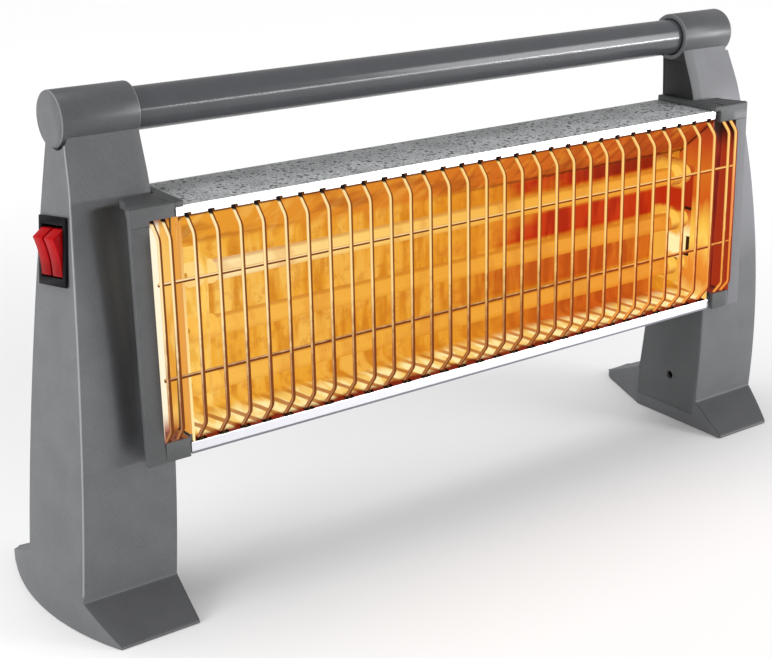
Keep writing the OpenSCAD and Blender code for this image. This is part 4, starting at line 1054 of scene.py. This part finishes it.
def reflector():
    """A sheet bent along the trough's line: rows run along the line and columns along the heater. Cells at a
    wire on the two front bends are left out as slots. Rows on the flanges reach a little further than the rest."""
    line = rounded(TROUGH, [0.8, 5, 3, 0.8], 6)
    step = np.linalg.norm(np.diff(line, axis=0), axis=1)
    at = np.concatenate([[0], np.cumsum(step)])
    top, low = (at[np.argmin(np.linalg.norm(line - TROUGH[k], axis=1))] for k in (1, 4))
    slots = [(top + UPPER_SLOT[0], top + UPPER_SLOT[1]), (low + LOWER_SLOT[0], low + LOWER_SLOT[1])]
    rows = np.unique(np.concatenate([at, *slots, np.linspace(0, at[-1], 60)]))
    ys, zs = np.interp(rows, at, line[:, 0]), np.interp(rows, at, line[:, 1])
    inside = WIRES[1:-1]
    xs = np.unique(np.concatenate([[-1, 1], (inside - SLOT) / FLANGE_X, (inside + SLOT) / FLANGE_X]))
    half = np.where((rows <= top) | (rows >= low), FLANGE_X, TROUGH_X)
    flat = np.zeros((len(rows), len(xs)))
    points = np.stack([xs * FLANGE_X + flat, ys[:, None] + flat, zs[:, None] + flat], -1)
    points[:, :, 0] = np.clip(points[:, :, 0], -half[:, None], half[:, None])
    mid_x = (xs[1:] + xs[:-1]) / 2 * FLANGE_X
    mid_s = (rows[1:] + rows[:-1]) / 2
    off = np.abs(mid_x[:, None] - inside[None]).min(1)
    at_slot = np.logical_or(*[(mid_s > start) & (mid_s < end) for start, end in slots])
    hole = at_slot[:, None] & (off < SLOT)[None]
    faces = grid_faces(len(rows), len(xs), False)[~hole.ravel()]
    piece = new_piece("reflector_sheet", points, faces, polished_sheet)
    wall = piece.modifiers.new("wall", "SOLIDIFY")
    wall.thickness, wall.offset = SHEET * MM, -1
    return settle(piece)


dress(reflector(), MAIN, "reflector")
paint(left_end_light, "left_reflector_end")
paint(right_end_light, "right_reflector_end")

# Guard

BENDS = rounded([(-42.4, 195.7), (-49.5, 188), (-52.5, 98), (-44.4, 87.2)], [5, 4], 7)


def guard():
    """Thirty-three wires, each the same bent line at its own place, and two straight rails behind them."""
    last_x, rail_x, rail_heights = 186.5, 187.4, (167, 122)
    xs = np.concatenate([[-last_x], WIRES, [last_x]])
    straight = np.linspace(BENDS[8], BENDS[9], 5)[1:-1]
    line = np.concatenate([BENDS[:9], straight, BENDS[9:]])
    flat = np.zeros((len(xs), len(line)))
    paths = np.stack([xs[:, None] + flat, line[:, 0] + flat, line[:, 1] + flat], -1)
    wires = swept("guard_wires", paths, 1.0, guard_chrome, 12, (0.81, -0.59, 0))
    dress(wires, MAIN, "guard")
    # The wires' long straight part falls 3 forwards over 90 of height; the rails lie 1.7 behind it
    x = np.linspace(-rail_x, rail_x, 12)
    rails = np.stack([np.stack([x, 0 * x - 49.5 - 3 * (188 - z) / 90 + 1.7, 0 * x + z], -1) for z in rail_heights])
    piece = swept("guard_rails", rails, 0.9, rail_chrome, 10, (0, 0, -1))
    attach(piece, MAIN)


guard()

# Heating tubes

GLASS_LINE = [(-157.6, 4), (-157.6, 4.8), (-157.2, 5), *[(x, 5) for x in np.linspace(-150, 150, 16)],
              (157.2, 5), (157.6, 4.8), (157.6, 4), (-157.6, 4)]
# A cap has a groove near its mouth and a bore for its pin
CAP_LINE = [(151, 5.15), (151, 5.5), (151.3, 5.75), (153.4, 5.75), (153.7, 5.4), (154.4, 5.4), (154.7, 5.75),
            (163.9, 5.75), (164.5, 5.2), (164.5, 1.3), (158, 1.3), (158, 5.15), (151, 5.15)]


def coil(name, z):
    """A wire wound on a helix of 4.9 mm diameter with a turn every 2 mm."""
    turns, per_turn, reach, helix_r, wire_r = 146, 14, 146, 2.45, 0.4
    t = np.linspace(0, 1, turns * per_turn + 1)
    a = 2 * np.pi * turns * t
    path = np.stack([2 * reach * t - reach, TUBE_Y + helix_r * np.sin(a), z + helix_r * np.cos(a)], -1)
    return swept(name, path, wire_r, coil_wire, 6)


for level, height in HEIGHTS.items():
    glass = turned("glass_" + level, GLASS_LINE, (TUBE_Y, height), quartz_glass, 32)
    dress(glass, MAIN, "tube_" + level)
    dress(coil("winding_" + level, height), MAIN, "coil_" + level)
    for side in SIDES:
        cap = turned(f"{side}_end_cap_{level}", CAP_LINE, (TUBE_Y, height), ceramic, 40)
        if side == "left":
            flip(cap)
        dress(cap, MAIN, f"{side}_cap_{level}")

# Small parts

# The left frame's opening reaches higher than the CAD's: through the front plate, and less under the roof
left_frame = carried("left_end_frame", frame_plastic, 0.45)
opening_low = (-188.9, -70, 193)
cut(left_frame, box("higher", opening_low, (-174.4, PLATE_Y, POCKET_TOP)))
cut(left_frame, box("roof", opening_low, (-174.4, -38, 195.2)))
carried("right_end_frame", frame_plastic, 0.45)
carried("left_tube_bracket", bracket_steel, 0.2)
carried("right_tube_bracket", right_bracket_steel, 0.2)
carried("switch_body", black_plastic, 0.3)
carried("rocker_front", red_plastic, 0.35, "front_rocker")
carried("rocker_rear", red_plastic, 0.35, "rear_rocker")
paint(left_case_paint, "left_case_end")
paint(right_case_paint, "right_case_end")
paint(plain_steel, *[s + n for s in SIDES for n in ("_cover_screw", "_leg_screw_upper", "_leg_screw_lower")])
paint(right_strip_brass, "right_bus")
paint(brass, "left_bus_upper", "left_bus_lower", "switch_tabs",
      *[f"{s}_pin_{h}" for s in SIDES for h in HEIGHTS])
paint(lead_sleeve, "lead_upper", "lead_lower", "lead_return", "lead_supply")
paint(plain_ceramic, "terminal_block")
paint(black_rubber, "cord_grommet")

# Floor, world and lights

floor_finish = Finish("floor", Roughness=0.75)
across, deep = floor_finish.axes()[:2]
away = (across * across + deep * deep) ** 0.5 + (floor_finish.noise(1.5) - 0.5) * 60
# Painted shade near the heater: paler far away, so that the heater's shadow shows while the floor's edge melts
# into the background
near_tone, far_tone = (0.72, 0.72, 0.725, 1), (0.95, 0.95, 0.95, 1)
floor_finish.base(floor_finish.mix(floor_finish.span(away, 250, 1000), near_tone, far_tone))
FLOOR = 8000
corners = [(-FLOOR, -FLOOR, 0), (FLOOR, -FLOOR, 0), (FLOOR, FLOOR, 0), (-FLOOR, FLOOR, 0)]
floor = new_piece("floor", corners, [(0, 1, 2, 3)], floor_finish)

world = bpy.data.worlds.new("studio")
world.use_nodes = True
world.node_tree.nodes["Background"].inputs[0].default_value = (1.0, 1.0, 1.0, 1)
world.node_tree.nodes["Background"].inputs[1].default_value = 0.53
scene.world = world


def lamp(name, kind, at, towards, **settings):
    """A light at a point that faces another."""
    data = bpy.data.lights.new(name, kind)
    for key, value in settings.items():
        setattr(data, key, value)
    made = linked(name, data)
    made.location = at
    made.rotation_euler = (Vector(towards) - Vector(at)).to_track_quat("-Z", "Y").to_euler()


def panel(name, at, towards, length, width, power):
    lamp(name, "AREA", at, towards, shape="RECTANGLE", size=length, size_y=width, energy=power)


# The two long panels make the line along the handle; the square ones light the left flank and the right leg
lamp("top", "SUN", (0, 0, 0), (0.2, -0.16, -1.0), energy=1.65, angle=math.radians(48))
panel("line", (1.8, -1.7, 0.2), (0.5, 0, 0.23), 2.1, 0.075, 22)
panel("line_right", (2.3, -1.7, 0.2), (0.5, 0, 0.23), 1.2, 0.08, 17)
panel("left", (-0.95, -0.12, 0.3), (-0.2, 0, 0.13), 0.5, 0.5, 5.4)
panel("right", (0.65, -0.62, 0.45), (0.2, 0, 0.13), 0.35, 0.35, 3.0)
scene.view_settings.view_transform = "Standard"
